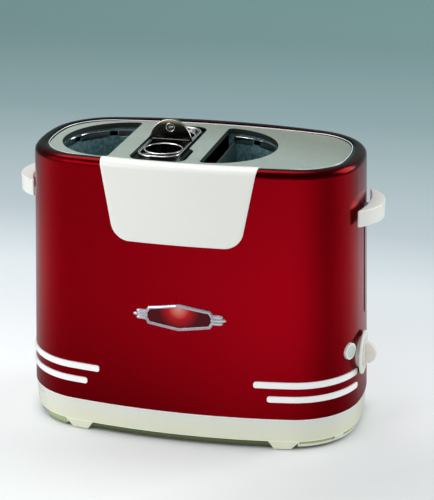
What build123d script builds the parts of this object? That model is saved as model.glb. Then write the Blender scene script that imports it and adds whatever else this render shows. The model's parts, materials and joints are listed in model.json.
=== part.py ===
"""Pop-up hot dog toaster: a bowed red body with two D-shaped bun wells, a lift-out sausage cage,
a sprung carriage on a guide rod, a timer, a stop button and a crumb tray.

Millimetres. +Z is up, +X is the end with the lever, -Y is the front with the apron.
The origin lies under the middle of the body, at the height of the soles of the feet.
"""

import os
from math import atan, atan2, cos, degrees, radians, sin, sqrt

from build123d import *

os.makedirs("parts", exist_ok=True)

# Body outline at the rim: bowed faces, round corners and slightly bowed ends
half_length = 130.0
half_depth = 69.6
end_radius = 132.0
corner_radius = 50.5
corner_angle = 8.6
flare = 5.5
crown = 1.4

# Heights
foot_bottom = 1.0
skirt_bottom = 7.5
shell_bottom = 26.9
rim_top = 225.9
plate_top = 224.2

# Sheets, walls and clearances
shell_wall = 2.0
skirt_wall = 2.5
sheet = 0.8
plate_sheet = 1.2
frame_sheet = 1.2
seat_gap = 0.1
running_gap = 0.1
slide_gap = 0.5
overrun = 5.0
reach = 2 * half_length

# Rim of the shell
rim_width = 10.5
rim_outer_round = 6.0
rim_inner_round = 2.8
rim_web = 3.6
rim_lip = 2.2
rim_lip_depth = 8.0
ledge_width = 3.0
ledge_sheet = 1.5

# Top plate
plate_gap = 1.0
opening_lip = 3.0

# Wells: D openings either side of the cage, all centred on one line
group_x = -24.6
straight_offset = 36.1
well_opening_radius = 50.0
well_corner_round = 4.0
well_clearance = 0.4
well_top_gap = 0.5
well_flange = 6.0
well_wall_offset = 40.6
well_wall_drop = 8.0
vent_width = 7.0
vent_height = 4.0
vent_drop = 6.5
vent_angles = (-62, -24, 24, 62)
arm_channel = 7.0
arm_channel_above = 4.0

# Cage opening and its guard
cage_opening_width = 40.0
cage_opening_front = 53.0
cage_opening_back = 48.5
cage_opening_round = 11.0
finger_notch = 5.0
finger_notch_length = 38.0
finger_notch_round = 9.0
guard_flange = 4.6
guard_window_half = 34.0
guard_window_drop = 21.1

# Lift-out cage
cage_y = 1.0
cage_rim_width = 34.3
cage_rim_length = 88.0
cage_rim_round = 14.0
cage_rim_sheet = 1.0
cage_bead_width = 2.0
cage_bead_height = 3.2
cage_hole_bead = 1.5
cage_hole_bead_height = 1.4
cage_tube_spacing = 39.0
cage_tube_radius = 15.0
cage_tube_bottom = 74.0
cage_slot_width = 6.0
cage_slot_count = 6
cage_slot_bottom_margin = 12.0
cage_slot_top_margin = 22.0
cage_floor_hole_radius = 2.5
cage_floor_hole_ring = 8.0
cage_floor_hole_count = 6
tab_y = 3.0
tab_radius = 17.2
tab_thickness = 1.2
tab_lip_half_width = 8.0
tab_lip_depth = 3.2
eyelet_height = 11.0
eyelet_radius = 3.7
eyelet_bore = 2.2
eyelet_thickness = 2.6

# Heater boards and their ribbons
board_offset = 37.2
mica = 0.8
board_inner_y = 4.5
board_outer_margin = 3.0
board_drop = 16.1
ribbon_thickness = 0.4
ribbon_width = 1.6
ribbon_rows = 9
ribbon_bottom = 60.0
ribbon_top = 196.0
ribbon_margin = 4.0

# Carriage, lifters and guide
travel = 80.0
carriage_gap = 3.0
rod_offset = 14.0
rod_y = 12.0
rod_radius = 3.0
carriage_sheet = 1.5
carriage_half_width = 24.0
carriage_lift = 2.0
carriage_over = 5.0
ear_length = 24.0
ear_half_width = 10.0
arm_bottom = 111.0
arm_height = 8.0
arm_thickness = 2.5
lifter_sheet = 1.2
lifter_gap = 2.6
lifter_rim = 5.0
tongue_thickness = 3.0
tongue_height = 8.0
slot_width = 5.0
slot_margin = 2.5

# Return spring
spring_offset = 9.0
spring_y = -12.0
spring_radius = 3.4
spring_wall = 0.9
spring_hook = 5.0
hook_tab_rise = 37.0
hook_tab_length = 12.0
hook_tab_width = 5.0

# End plates
left_plate_gap = 2.9
left_plate_half_width = 36.0
left_plate_foot = 8.0
right_plate_gap = 4.5
right_plate_half_width = 50.0
end_plate_drop = 9.1
end_plate_sheet = 1.0
fold_length = 32.0
bottom_fold_half_width = 38.0
top_fold_front = 18.0
top_fold_back = 24.0

# Magnet, armature and power contacts
magnet_offset = 15.0
magnet_y = -19.0
magnet_length = 14.0
magnet_height = 17.6
magnet_width = 24.0
magnet_yoke = 4.0
magnet_leg = 4.0
magnet_core_leg = 7.0
armature_thickness = 3.0
armature_gap = 0.3
contact_offset = 8.0
contact_y = 31.0
contact_block_length = 10.0
contact_block_width = 10.0
contact_block_height = 9.0
contact_leaf = 0.5
contact_leaf_height = 6.6
contact_spacing = 4.0
contact_tab_length = 10.0

# Handles: plain crescents, thick in the middle
handle_height = 13.0
handle_reach = 5.4
handle_thickness = 11.6
handle_edge_round = 1.6
handle_tip_round = 1.1
lever_top = 188.5
lever_half_width = 32.0
lever_tip_in = 0.2
fixed_handle_top = 194.0
fixed_handle_half_width = 32.0
fixed_handle_tip_in = 3.9
handle_screw_y = 8.0
handle_screw_radius = 1.6
handle_screw_head = 3.4
handle_screw_head_depth = 1.8
handle_screw_length = 12.0
handle_screw_seat = 0.7
pedestal_half_width = 13.0
pedestal_height = 9.0

# Timer knob and stop button
knob_y = -14.0
knob_height = 67.2
bezel_radius = 17.5
bezel_depth = 2.6
bezel_lift = 1.0
bezel_foot_radius = 12.5
bezel_step = 1.2
bezel_round = 0.8
knob_radius = 10.5
knob_disc = 1.6
blade_radius = 8.8
blade_thickness = 5.0
shaft_radius = 3.0
shaft_clearance = 0.8
spigot_wall = 1.6
spigot_tail = 2.5
knob_gap = 0.3
blade_round = 1.2
board_depth = 22.0
board_thickness = 1.6
board_bottom_gap = 3.0
board_height = 61.0
board_width = 48.0
board_shift = 2.0
timer_side = 17.0
timer_depth = 7.0
timer_floor = 1.2
bushing_length = 4.0
bushing_wall = 1.4
button_angle = 24.5
button_rise = 8.5
button_radius = 6.7
button_gap = 0.4
button_proud = 1.6
button_flange = 1.4
button_flange_sheet = 1.2
button_behind_wall = 1.4
button_stem_radius = 2.5
button_travel = 1.8
switch_side = 6.0
switch_depth = 4.6
switch_cap = 1.4
switch_cap_radius = 1.75
bracket_height = 16.0
bracket_foot = 8.0
bracket_sheet = 1.0
board_screw_spacing = 34.0
board_screw_radius = 1.5
board_screw_head = 2.8
board_screw_head_depth = 1.6

# Apron over the front rim
apron_x = -1.0
apron_half_top = 62.0
apron_half_middle = 52.0
apron_half_bottom = 37.0
apron_middle = 177.0
apron_bottom = 164.0
apron_corner_round = 25.0
apron_proud = 0.5
apron_recess = 0.7
apron_clearance = 0.2
apron_inner_drop = 4.2

# Trim strips: the lower of each pair starts further round the corner
trim_proud = 0.8
trim_recess = 0.5
trim_clearance = 0.4
trim_round = 1.9
upper_trim_low, upper_trim_high = 52.9, 57.9
lower_trim_low, lower_trim_high = 41.4, 46.2
upper_trim_left, lower_trim_left = -64.3, -74.8
upper_trim_right, lower_trim_right = 60.1, 70.7
trim_right_end_y = -24.2
trim_left_end_y = 12.0

# Badge: a long eight-sided frame with three ribs at each end
badge_x = 1.8
badge_height = 106.2
badge_half_width = 29.0
badge_shoulder_x = 24.7
badge_shoulder = 7.1
badge_half_height = 10.8
badge_border = 2.4
badge_proud = 2.0
badge_insert_proud = 1.2
wing_half_width = 37.0
wing_step = 2.6
wing_rib_height = 2.5
wing_rib_pitch = 3.0
wing_proud = 1.6

# Base
skirt_inset_top = 0.3
skirt_inset_bottom = 1.6
lower_wall_inset = 1.3
lower_wall_bottom = 2.8
deck_thickness = 3.0
deck_width = 15.0
lip_gap = 0.4
lip_thickness = 2.0
lip_height = 5.0
foot_end_inset = 47.5
foot_y = 58.0
foot_half_bottom = 6.4
foot_half_top_inner = 11.0
foot_half_top_outer = 13.5
foot_depth = 20.0
foot_boss_radius = 8.0
pad_radius = 5.5
pad_recess = 1.0
nub_end_inset = 7.0
nub_half_width = 2.6
nub_drop = 3.0
bottom_plate_top = 11.0
bottom_plate_sheet = 1.0
bottom_plate_gap = 0.6
base_screw_x = 42.0
base_screw_y = 64.0
base_boss_radius = 4.5
base_screw_radius = 1.6
base_screw_head = 3.4
base_screw_head_depth = 1.7
base_screw_length = 10.0
bottom_vent_length = 34.0
bottom_vent_width = 4.0
bottom_vent_pitch = 9.0
bottom_vent_count = 5

# Crumb tray
tray_seam_y = 52.0
tray_seam_top = 22.0
tray_half_width = 45.0
tray_end_x = 56.0
tray_height = 9.0
tray_sheet = 1.0
tray_guide_height = 7.0
tray_corner_round = 5.0
tray_pull_half_width = 22.0
tray_pull_height = 5.0
tray_pull_depth = 1.3

# Mains inlet at the back of the base
inlet_x = 60.0
inlet_height = 17.5
inlet_bore = 3.6
inlet_wall = 1.9
inlet_flange = 2.2
inlet_flange_proud = 1.3
inlet_tail = 6.0

# Body outline, worked out from the driving sizes
end_centre = half_length - end_radius
corner_x = end_centre + (end_radius - corner_radius) * cos(radians(corner_angle))
corner_y = (end_radius - corner_radius) * sin(radians(corner_angle))
corner_drop = half_depth - corner_y
face_radius = (corner_x**2 + corner_drop**2 - corner_radius**2) / (2 * (corner_drop - corner_radius))
face_centre = half_depth - face_radius
face_angle = degrees(atan2(corner_y - face_centre, corner_x))
flare_angle = degrees(atan(flare / (rim_top - shell_bottom)))
crown_drop = crown * (reach / half_length) ** 2

# Heights that follow from those above
plate_under = plate_top - plate_sheet
well_top = plate_under - crown - well_top_gap
frame_top = shell_bottom + frame_sheet
arm_top = arm_bottom + arm_height
lever_middle = lever_top - handle_height / 2
carriage_bottom = arm_bottom + carriage_lift
carriage_top = lever_middle + carriage_over
hook_tab_height = carriage_bottom + hook_tab_rise
end_plate_top = well_top - end_plate_drop
board_top = well_top - board_drop
guard_window_top = well_top - guard_window_drop
magnet_bottom = frame_top + end_plate_sheet
armature_height = magnet_bottom + magnet_height + armature_gap + travel
contact_top = magnet_bottom + contact_block_height + contact_leaf_height
contact_tab_height = contact_top + armature_gap + travel
button_height = knob_height + button_rise
channel_top = arm_top + arm_channel_above
well_radius = well_opening_radius + sheet + well_clearance
tray_bottom = bottom_plate_top + seat_gap
cage_rim_low = well_top + seat_gap
foot_x = half_length - foot_end_inset
nub_x = half_length - nub_end_inset
board_outer_y = well_opening_radius - board_outer_margin
cage_rim_high = cage_rim_low + cage_bead_height
spigot_radius = shaft_radius + shaft_clearance + spigot_wall

# Places along the body that follow from the wells
left_plate_x = group_x - straight_offset - well_opening_radius - left_plate_gap
right_plate_x = group_x + straight_offset + well_opening_radius + right_plate_gap
carriage_x = right_plate_x + end_plate_sheet + carriage_gap
rod_x = carriage_x + rod_offset
spring_x = carriage_x + spring_offset
magnet_x = carriage_x + magnet_offset
contact_x = carriage_x + contact_offset
contact_tab_end = contact_y + contact_block_width / 2
handle_inner = half_length + handle_reach
handle_apex = handle_inner + handle_thickness
lever_tip_x = half_length - lever_tip_in
fixed_handle_tip_x = half_length - fixed_handle_tip_in


def grow_at(height):
    """How far the flared body stands outside its rim outline at a height."""
    return flare * (rim_top - height) / (rim_top - shell_bottom)


def body_outline(grow, mode=Mode.ADD):
    """The bowed outline of the body, grown outwards, drawn in the current sketch."""
    with BuildLine() as line:
        CenterArc((0, face_centre), face_radius + grow, face_angle, 90 - face_angle)
        CenterArc((corner_x, corner_y), corner_radius + grow, corner_angle, face_angle - corner_angle)
        CenterArc((end_centre, 0), end_radius + grow, 0, corner_angle)
        mirror(about=Plane.YZ)
        mirror(about=Plane.XZ)
    make_face(line.edges(), mode=mode)


def above_arch(height):
    """Everything above the shallow arch that crowns at a height, to cut away."""
    with BuildPart() as space:
        with BuildSketch(Plane.XZ):
            with BuildLine():
                side_height = height - crown_drop
                arch = ThreePointArc((-reach, side_height), (0, height), (reach, side_height))
                Polyline(arch @ 1, (reach, height + reach), (-reach, height + reach), arch @ 0)
            make_face()
        extrude(amount=reach, both=True)
    return space.part


def body_block(inset, low, high):
    """The flared body from a height up to an arched top, moved inwards by an inset."""
    with BuildPart() as block:
        with BuildSketch(Plane.XY.offset(low)):
            body_outline(grow_at(low) - inset)
        extrude(amount=high + overrun - low, taper=flare_angle)
        add(above_arch(high), mode=Mode.SUBTRACT)
    return block.part


def arched_sheet(inset, top, thickness):
    """A sheet with upright edges that follows the arch of the top."""
    with BuildPart() as sheet_part:
        with BuildSketch(Plane.XY.offset(shell_bottom)):
            body_outline(-inset)
        extrude(amount=top + overrun - shell_bottom)
        add(above_arch(top), mode=Mode.SUBTRACT)
        add(above_arch(top - thickness), mode=Mode.INTERSECT)
    return sheet_part.part


def rim_block(grow):
    """The outside form of the shell with its open rim, every surface moved out by one amount."""
    with BuildPart() as block:
        add(body_block(-grow, shell_bottom, rim_top + grow))
        fillet(block.faces().sort_by(Axis.Z)[-1].edges(), rim_outer_round + grow)
        with BuildSketch(Plane.XY.offset(rim_top - rim_lip_depth)):
            body_outline(-rim_width - grow)
        extrude(amount=rim_lip_depth + overrun, mode=Mode.SUBTRACT)
        inner_edges = block.faces().sort_by(Axis.Z)[-1].inner_wires()[0].edges()
        fillet(inner_edges, rim_inner_round + grow)
    return block.part


def well_sketch(side, radius, straight, corner_round=0):
    """A D: a half disc of a radius, cut straight at an offset from the middle of the wells."""
    centre_x = group_x + side * straight_offset
    straight_x = group_x + side * straight
    with BuildSketch() as shape:
        with Locations((centre_x, 0)):
            Circle(radius)
        with Locations((straight_x - side * reach / 2, 0)):
            Rectangle(reach, reach, mode=Mode.SUBTRACT)
        if corner_round:
            fillet(shape.vertices(), corner_round)
    return shape.sketch


def cage_opening(grow=0):
    """The cage opening of the top plate, with its finger notch at the right front."""
    length = cage_opening_front + cage_opening_back
    middle_y = (cage_opening_back - cage_opening_front) / 2
    notch_width = cage_opening_width / 2 + finger_notch
    with BuildSketch() as shape:
        with Locations((group_x, middle_y)):
            RectangleRounded(cage_opening_width, length, cage_opening_round)
        with Locations((group_x + notch_width / 2, finger_notch_length / 2 - cage_opening_front)):
            RectangleRounded(notch_width, finger_notch_length, finger_notch_round)
        offset(amount=grow)
    return shape.sketch


def arm_slot(low, high):
    """A narrow upright channel along X for the lifter arm, to cut from what it passes through."""
    with BuildPart() as slot:
        with BuildSketch(Plane.XY.offset(low)):
            Rectangle(2 * reach, arm_channel)
        extrude(amount=high - low)
    return slot.part


def trim_band(start_x, end_y, low, high, inner, outer, gap):
    """A strip of the body's surface that starts on the front and runs round a corner."""
    side = 1 if start_x > 0 else -1
    length = half_length + reach
    with BuildPart() as band:
        add(body_block(-outer, low - gap, high + overrun))
        add(body_block(inner, low - gap, high + overrun), mode=Mode.SUBTRACT)
        with BuildSketch(Plane.XY.offset(low - gap)):
            with Locations((start_x - side * gap, end_y + gap)):
                Rectangle(length, length, align=(Align.MIN if side > 0 else Align.MAX, Align.MAX))
        extrude(amount=high - low + 2 * gap, mode=Mode.INTERSECT)
        front_end = band.edges().filter_by(Axis.Y).filter_by_position(Axis.Y, -reach, -corner_radius)
        far_end = band.edges().filter_by(Axis.X)
        far_end = far_end.filter_by_position(Axis.Y, end_y - trim_round, end_y + trim_round)
        fillet(front_end + far_end, trim_round + gap)
    return band.part


def apron_region(gap):
    """The apron's front view, carried from front to back of the front half."""
    with BuildPart() as region:
        with BuildSketch(Plane.XZ):
            with BuildLine():
                Polyline(
                    (apron_x - apron_half_top, rim_top + overrun),
                    (apron_x - apron_half_middle - gap, apron_middle),
                    (apron_x - apron_half_bottom - gap, apron_bottom - gap),
                    (apron_x + apron_half_bottom + gap, apron_bottom - gap),
                    (apron_x + apron_half_middle + gap, apron_middle),
                    (apron_x + apron_half_top, rim_top + overrun),
                    close=True,
                )
            sketch = make_face()
            fillet(sketch.vertices().group_by(Axis.Y)[0], apron_corner_round)
        extrude(amount=reach)
    return region.part


# Red shell
apron_space = rim_block(apron_proud) - rim_block(-apron_recess)

knob_x = half_length + grow_at(knob_height)
knob_plane = Plane(origin=(knob_x, knob_y, knob_height), x_dir=(0, 0, 1), z_dir=(1, 0, 0))
button_turn = radians(button_angle)
button_reach = corner_radius + grow_at(button_height)
button_plane = Plane(
    origin=(
        corner_x + button_reach * cos(button_turn),
        -corner_y - button_reach * sin(button_turn),
        button_height,
    ),
    x_dir=(0, 0, 1),
    z_dir=(cos(button_turn), -sin(button_turn), 0),
)
left_wall_plane = Plane(
    origin=(-half_length, 0, fixed_handle_top - handle_height / 2), x_dir=(0, -1, 0), z_dir=(-1, 0, 0)
)

trims = {
    "left_upper_trim": (upper_trim_left, trim_left_end_y, upper_trim_low, upper_trim_high),
    "left_lower_trim": (lower_trim_left, trim_left_end_y, lower_trim_low, lower_trim_high),
    "right_upper_trim": (upper_trim_right, trim_right_end_y, upper_trim_low, upper_trim_high),
    "right_lower_trim": (lower_trim_right, trim_right_end_y, lower_trim_low, lower_trim_high),
}

with BuildPart() as outer_shell:
    add(rim_block(0))
    add(body_block(shell_wall, shell_bottom, rim_top - rim_web), mode=Mode.SUBTRACT)
    lip = arched_sheet(rim_width - rim_lip, rim_top - rim_web / 2, rim_lip_depth)
    lip_bore = arched_sheet(rim_width, rim_top, rim_lip_depth + overrun)
    add(lip - lip_bore)
    ledge = arched_sheet(rim_width - rim_lip, plate_under, ledge_sheet)
    ledge_bore = arched_sheet(rim_width + ledge_width, plate_top, ledge_sheet + overrun)
    add(ledge - ledge_bore)
    add(apron_space & apron_region(apron_clearance), mode=Mode.SUBTRACT)
    for start_x, end_y, low, high in trims.values():
        groove = trim_band(start_x, end_y, low, high, trim_recess, overrun, trim_clearance)
        add(groove, mode=Mode.SUBTRACT)
    slot_length = travel + tongue_height + 2 * slot_margin
    with BuildSketch(Plane.YZ.offset(corner_x)):
        with Locations((0, lever_middle - travel / 2)):
            SlotOverall(slot_length, slot_width, rotation=90)
    extrude(amount=reach, mode=Mode.SUBTRACT)
    with BuildSketch(knob_plane):
        Circle(spigot_radius + seat_gap)
    extrude(amount=overrun, both=True, mode=Mode.SUBTRACT)
    with BuildSketch(button_plane):
        Circle(button_radius + button_gap)
    extrude(amount=overrun, both=True, mode=Mode.SUBTRACT)
    with BuildSketch(left_wall_plane):
        with GridLocations(2 * handle_screw_y, 0, 2, 1):
            Circle(handle_screw_radius + seat_gap)
    extrude(amount=2 * overrun, both=True, mode=Mode.SUBTRACT)

# Satin top plate
with BuildPart() as top_plate:
    add(arched_sheet(rim_width + plate_gap, plate_top, plate_sheet))
    for side in (-1, 1):
        with BuildSketch(Plane.XY.offset(shell_bottom)):
            add(well_sketch(side, well_opening_radius + sheet, straight_offset - sheet, well_corner_round))
        lip_column = extrude(amount=rim_top - shell_bottom, mode=Mode.PRIVATE)
        add(lip_column & arched_sheet(rim_width + plate_gap, plate_top, plate_sheet + opening_lip))
        with BuildSketch(Plane.XY.offset(shell_bottom)):
            add(well_sketch(side, well_opening_radius, straight_offset, well_corner_round))
        extrude(amount=rim_top - shell_bottom, mode=Mode.SUBTRACT)
    with BuildSketch(Plane.XY.offset(plate_under - overrun)):
        add(cage_opening())
    extrude(amount=2 * overrun, mode=Mode.SUBTRACT)

# White apron that wraps over the front rim
with BuildPart() as front_apron:
    add(apron_space & apron_region(0))
    with BuildSketch(Plane.XY.offset(apron_bottom - overrun)):
        body_outline(-rim_width + rim_lip)
    extrude(
        amount=rim_top - apron_inner_drop - apron_bottom + overrun,
        mode=Mode.SUBTRACT,
    )

# Trim strips round the front corners
trim_parts = {}
for name, (start_x, end_y, low, high) in trims.items():
    trim_parts[name] = trim_band(start_x, end_y, low, high, trim_recess, trim_proud, 0)

# Badge: a chrome frame with ribbed wings round a red field, bowed with the front
badge_plane = Plane(origin=(badge_x, 0, badge_height), x_dir=(1, 0, 0), z_dir=(0, -1, 0))
badge_low = badge_height - badge_half_height - overrun
badge_high = badge_height + badge_half_height + overrun


def badge_outline(inset):
    """The badge's front view, moved inwards: long sides that rise to a point, and pointed ends."""
    corner = (badge_shoulder_x, badge_shoulder)
    with BuildSketch() as shape:
        with BuildLine():
            quarter = Polyline((badge_half_width, 0), corner, (0, badge_half_height))
            mirror(quarter, about=Plane.YZ)
            mirror(about=Plane.XZ)
        make_face()
        if inset:
            offset(amount=-inset, kind=Kind.INTERSECTION)
    return shape.sketch


with BuildPart() as badge_wings:
    add(body_block(-wing_proud, badge_low, badge_high))
    with BuildSketch(badge_plane):
        for rib in (-1, 0, 1):
            with Locations((0, rib * wing_rib_pitch)):
                SlotOverall(2 * (wing_half_width - abs(rib) * wing_step), wing_rib_height)
        add(badge_outline(badge_border / 2), mode=Mode.SUBTRACT)
    extrude(amount=reach, mode=Mode.INTERSECT)

with BuildPart() as badge_bezel:
    add(body_block(-badge_proud, badge_low, badge_high))
    with BuildSketch(badge_plane):
        add(badge_outline(0))
        add(badge_outline(badge_border), mode=Mode.SUBTRACT)
    extrude(amount=reach, mode=Mode.INTERSECT)
    add(badge_wings.part)
    add(body_block(0, badge_low, badge_high), mode=Mode.SUBTRACT)

with BuildPart() as badge_insert:
    add(body_block(-badge_insert_proud, badge_low, badge_high))
    add(body_block(0, badge_low, badge_high), mode=Mode.SUBTRACT)
    with BuildSketch(badge_plane):
        add(badge_outline(badge_border + seat_gap))
    extrude(amount=reach, mode=Mode.INTERSECT)

# Cream base: a skirt that draws in downwards, a lower wall, a deck, a lip for the shell and feet
skirt_angle = degrees(atan((skirt_inset_bottom - skirt_inset_top) / (shell_bottom - skirt_bottom)))
down_plane = Plane(origin=(0, 0, shell_bottom), x_dir=(1, 0, 0), z_dir=(0, 0, -1))
foot_places = GridLocations(2 * foot_x, 2 * foot_y, 2, 2)
boss_places = GridLocations(2 * base_screw_x, 2 * base_screw_y, 2, 2)


def skirt_block(inset, top, bottom):
    """The skirt's outside form between two heights, moved inwards by an inset."""
    with BuildPart() as block:
        with BuildSketch(down_plane):
            body_outline(flare - skirt_inset_top - inset)
        extrude(amount=shell_bottom - bottom, taper=skirt_angle)
        with BuildSketch(Plane.XY.offset(top)):
            Rectangle(2 * reach, 2 * reach)
        extrude(amount=reach, mode=Mode.SUBTRACT)
    return block.part


def foot_profile(side):
    """Front view of a foot: steep towards the middle, gentler towards the end."""
    with BuildLine() as line:
        Polyline(
            (side * (foot_x - foot_half_top_inner), skirt_bottom + overrun),
            (side * (foot_x - foot_half_top_inner), skirt_bottom),
            (side * (foot_x - foot_half_bottom), foot_bottom),
            (side * (foot_x + foot_half_bottom), foot_bottom),
            (side * (foot_x + foot_half_top_outer), skirt_bottom),
            (side * (foot_x + foot_half_top_outer), skirt_bottom + overrun),
            close=True,
        )
    return make_face(line.edges())


with BuildPart() as feet_space:
    with BuildSketch(Plane.XZ):
        with Locations((0, skirt_bottom - overrun)):
            Rectangle(2 * reach, 2 * overrun)
        for side in (-1, 1):
            add(foot_profile(side), mode=Mode.SUBTRACT)
    extrude(amount=reach, both=True)
    with BuildSketch(Plane.XY.offset(-overrun)):
        Rectangle(2 * reach, 2 * (half_depth - foot_depth))
    extrude(amount=skirt_bottom + overrun)

# Small locating nub under the right front of the skirt
with BuildPart() as nub:
    add(skirt_block(0, skirt_bottom, skirt_bottom - nub_drop))
    add(skirt_block(skirt_wall, skirt_bottom, -overrun), mode=Mode.SUBTRACT)
    with BuildSketch(Plane.XY.offset(skirt_bottom - nub_drop)):
        with Locations((nub_x, -half_depth / 2)):
            Rectangle(2 * nub_half_width, half_depth)
    extrude(amount=nub_drop, mode=Mode.INTERSECT)

# Lower wall that stands back under the skirt's edge
with BuildPart() as lower_wall:
    add(skirt_block(lower_wall_inset, skirt_bottom + sheet, lower_wall_bottom))
    add(skirt_block(skirt_wall, skirt_bottom + sheet, -overrun), mode=Mode.SUBTRACT)

with BuildPart() as base:
    add(skirt_block(0, shell_bottom, foot_bottom))
    add(feet_space.part, mode=Mode.SUBTRACT)
    add(lower_wall.part)
    add(skirt_block(skirt_wall, shell_bottom - deck_thickness, -overrun), mode=Mode.SUBTRACT)
    with BuildSketch(Plane.XY.offset(shell_bottom - deck_thickness - overrun)):
        body_outline(flare - deck_width)
    extrude(amount=deck_thickness + 2 * overrun, mode=Mode.SUBTRACT)
    with BuildSketch(Plane.XY.offset(shell_bottom)):
        body_outline(flare - shell_wall - lip_gap)
        body_outline(flare - shell_wall - lip_gap - lip_thickness, mode=Mode.SUBTRACT)
    extrude(amount=lip_height)
    with BuildSketch(Plane.XY.offset(foot_bottom)):
        with foot_places:
            Circle(foot_boss_radius)
    extrude(amount=shell_bottom - foot_bottom - deck_thickness / 2)
    with BuildSketch(Plane.XY.offset(foot_bottom)):
        with foot_places:
            Circle(pad_radius)
    extrude(amount=pad_recess, mode=Mode.SUBTRACT)
    with BuildSketch(Plane.XY.offset(bottom_plate_top)):
        with boss_places:
            Circle(base_boss_radius)
    extrude(amount=shell_bottom - bottom_plate_top - deck_thickness / 2)
    with BuildSketch(Plane.XY.offset(bottom_plate_top)):
        with boss_places:
            Circle(base_screw_radius)
    extrude(amount=base_screw_length, mode=Mode.SUBTRACT)
    with BuildSketch():
        with Locations((-reach / 2 - foot_x - foot_half_top_outer, 0)):
            Rectangle(reach, 2 * tray_seam_y)
    extrude(amount=tray_seam_top, mode=Mode.SUBTRACT)
    with BuildSketch(Plane.XZ):
        with Locations((inlet_x, inlet_height)):
            Circle(inlet_bore + inlet_wall + seat_gap)
    extrude(amount=-reach, mode=Mode.SUBTRACT)
    add(nub.part)

# Soft pads under the feet
with BuildPart() as foot_pads:
    with BuildSketch():
        with foot_places:
            Circle(pad_radius - seat_gap)
    extrude(amount=foot_bottom + pad_recess)
    fillet(foot_pads.edges().group_by(Axis.Z)[0], foot_bottom / 2)

# Bottom plate with tray guides and air slots
with BuildPart() as bottom_plate:
    plate_low = bottom_plate_top - bottom_plate_sheet
    add(skirt_block(skirt_wall + bottom_plate_gap, bottom_plate_top, plate_low))
    with BuildSketch(Plane.XY.offset(bottom_plate_top)):
        with GridLocations(0, 2 * (tray_half_width + slide_gap) + bottom_plate_sheet, 1, 2):
            Rectangle(2 * foot_x, bottom_plate_sheet)
    extrude(amount=tray_guide_height)
    with BuildSketch(Plane.XY.offset(plate_low)):
        with foot_places:
            Circle(foot_boss_radius + slide_gap)
        with boss_places:
            Circle(base_screw_radius + seat_gap)
        with GridLocations(0, bottom_vent_pitch, 1, bottom_vent_count):
            SlotOverall(bottom_vent_length, bottom_vent_width)
        with Locations((foot_x + foot_half_top_outer, 0)):
            with GridLocations(0, bottom_vent_pitch, 1, bottom_vent_count):
                SlotOverall(bottom_vent_length, bottom_vent_width)
    extrude(amount=bottom_plate_sheet, mode=Mode.SUBTRACT)

with BuildPart() as base_screws:
    with BuildSketch(Plane.XY.offset(plate_low)):
        with boss_places:
            Circle(base_screw_head)
    extrude(amount=-base_screw_head_depth)
    chamfer(base_screws.edges().group_by(Axis.Z)[0], base_screw_head_depth / 2)
    with BuildSketch(Plane.XY.offset(plate_low)):
        with boss_places:
            Circle(base_screw_radius)
    extrude(amount=base_screw_length)

# Crumb tray: an open pan whose front closes the left end of the skirt
with BuildPart() as crumb_tray:
    pan_left = -half_length - flare + skirt_wall + bottom_plate_gap
    pan_length = tray_end_x - pan_left
    pan_middle = (tray_end_x + pan_left) / 2
    with BuildSketch(Plane.XY.offset(tray_bottom)):
        with Locations((pan_middle, 0)):
            Rectangle(pan_length, 2 * tray_half_width)
    extrude(amount=tray_height)
    add(skirt_block(skirt_wall - seat_gap, shell_bottom, skirt_bottom), mode=Mode.INTERSECT)
    fillet(crumb_tray.edges().filter_by(Axis.Z).group_by(Axis.X)[-1], tray_corner_round)
    with BuildSketch(Plane.XY.offset(tray_bottom + tray_sheet)):
        with Locations((pan_middle, 0)):
            RectangleRounded(
                pan_length - 2 * tray_sheet,
                2 * (tray_half_width - tray_sheet),
                tray_corner_round - tray_sheet,
            )
    pan_space = extrude(amount=tray_height, mode=Mode.PRIVATE)
    inner_form = skirt_block(skirt_wall + 2 * tray_sheet, shell_bottom, skirt_bottom)
    add(pan_space & inner_form, mode=Mode.SUBTRACT)
    front = skirt_block(0, tray_seam_top - slide_gap, skirt_bottom)
    front -= skirt_block(skirt_wall, shell_bottom, -overrun)
    with BuildSketch(Plane.XY.offset(skirt_bottom)):
        with Locations((-reach / 2 - foot_x - foot_half_top_outer, 0)):
            Rectangle(reach, 2 * (tray_seam_y - slide_gap))
    end_zone = extrude(amount=shell_bottom, mode=Mode.PRIVATE)
    add(front & end_zone)
    with BuildSketch(Plane.YZ.offset(-half_length - flare)):
        with Locations((0, skirt_bottom)):
            RectangleRounded(2 * tray_pull_half_width, 2 * tray_pull_height, tray_pull_height / 2)
    extrude(amount=2 * tray_pull_depth, mode=Mode.SUBTRACT)

# Bush where the mains lead enters
inlet_grow = flare - skirt_inset_top - (shell_bottom - inlet_height) * sin(radians(skirt_angle))
inlet_wall_y = face_centre + sqrt((face_radius + inlet_grow) ** 2 - inlet_x**2)
inlet_plane = Plane(origin=(inlet_x, inlet_wall_y, inlet_height), x_dir=(1, 0, 0), z_dir=(0, 1, 0))

with BuildPart() as inlet_bush:
    with BuildSketch(inlet_plane.offset(-overrun)):
        Circle(inlet_bore + inlet_wall + inlet_flange)
    extrude(amount=overrun + inlet_flange_proud)
    add(skirt_block(0, shell_bottom, -overrun), mode=Mode.SUBTRACT)
    with BuildSketch(inlet_plane):
        Circle(inlet_bore + inlet_wall)
    extrude(amount=-inlet_tail)
    with BuildSketch(inlet_plane):
        Circle(inlet_bore + inlet_wall)
    extrude(amount=inlet_flange_proud)
    with BuildSketch(inlet_plane):
        Circle(inlet_bore)
    extrude(amount=2 * overrun, both=True, mode=Mode.SUBTRACT)

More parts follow.
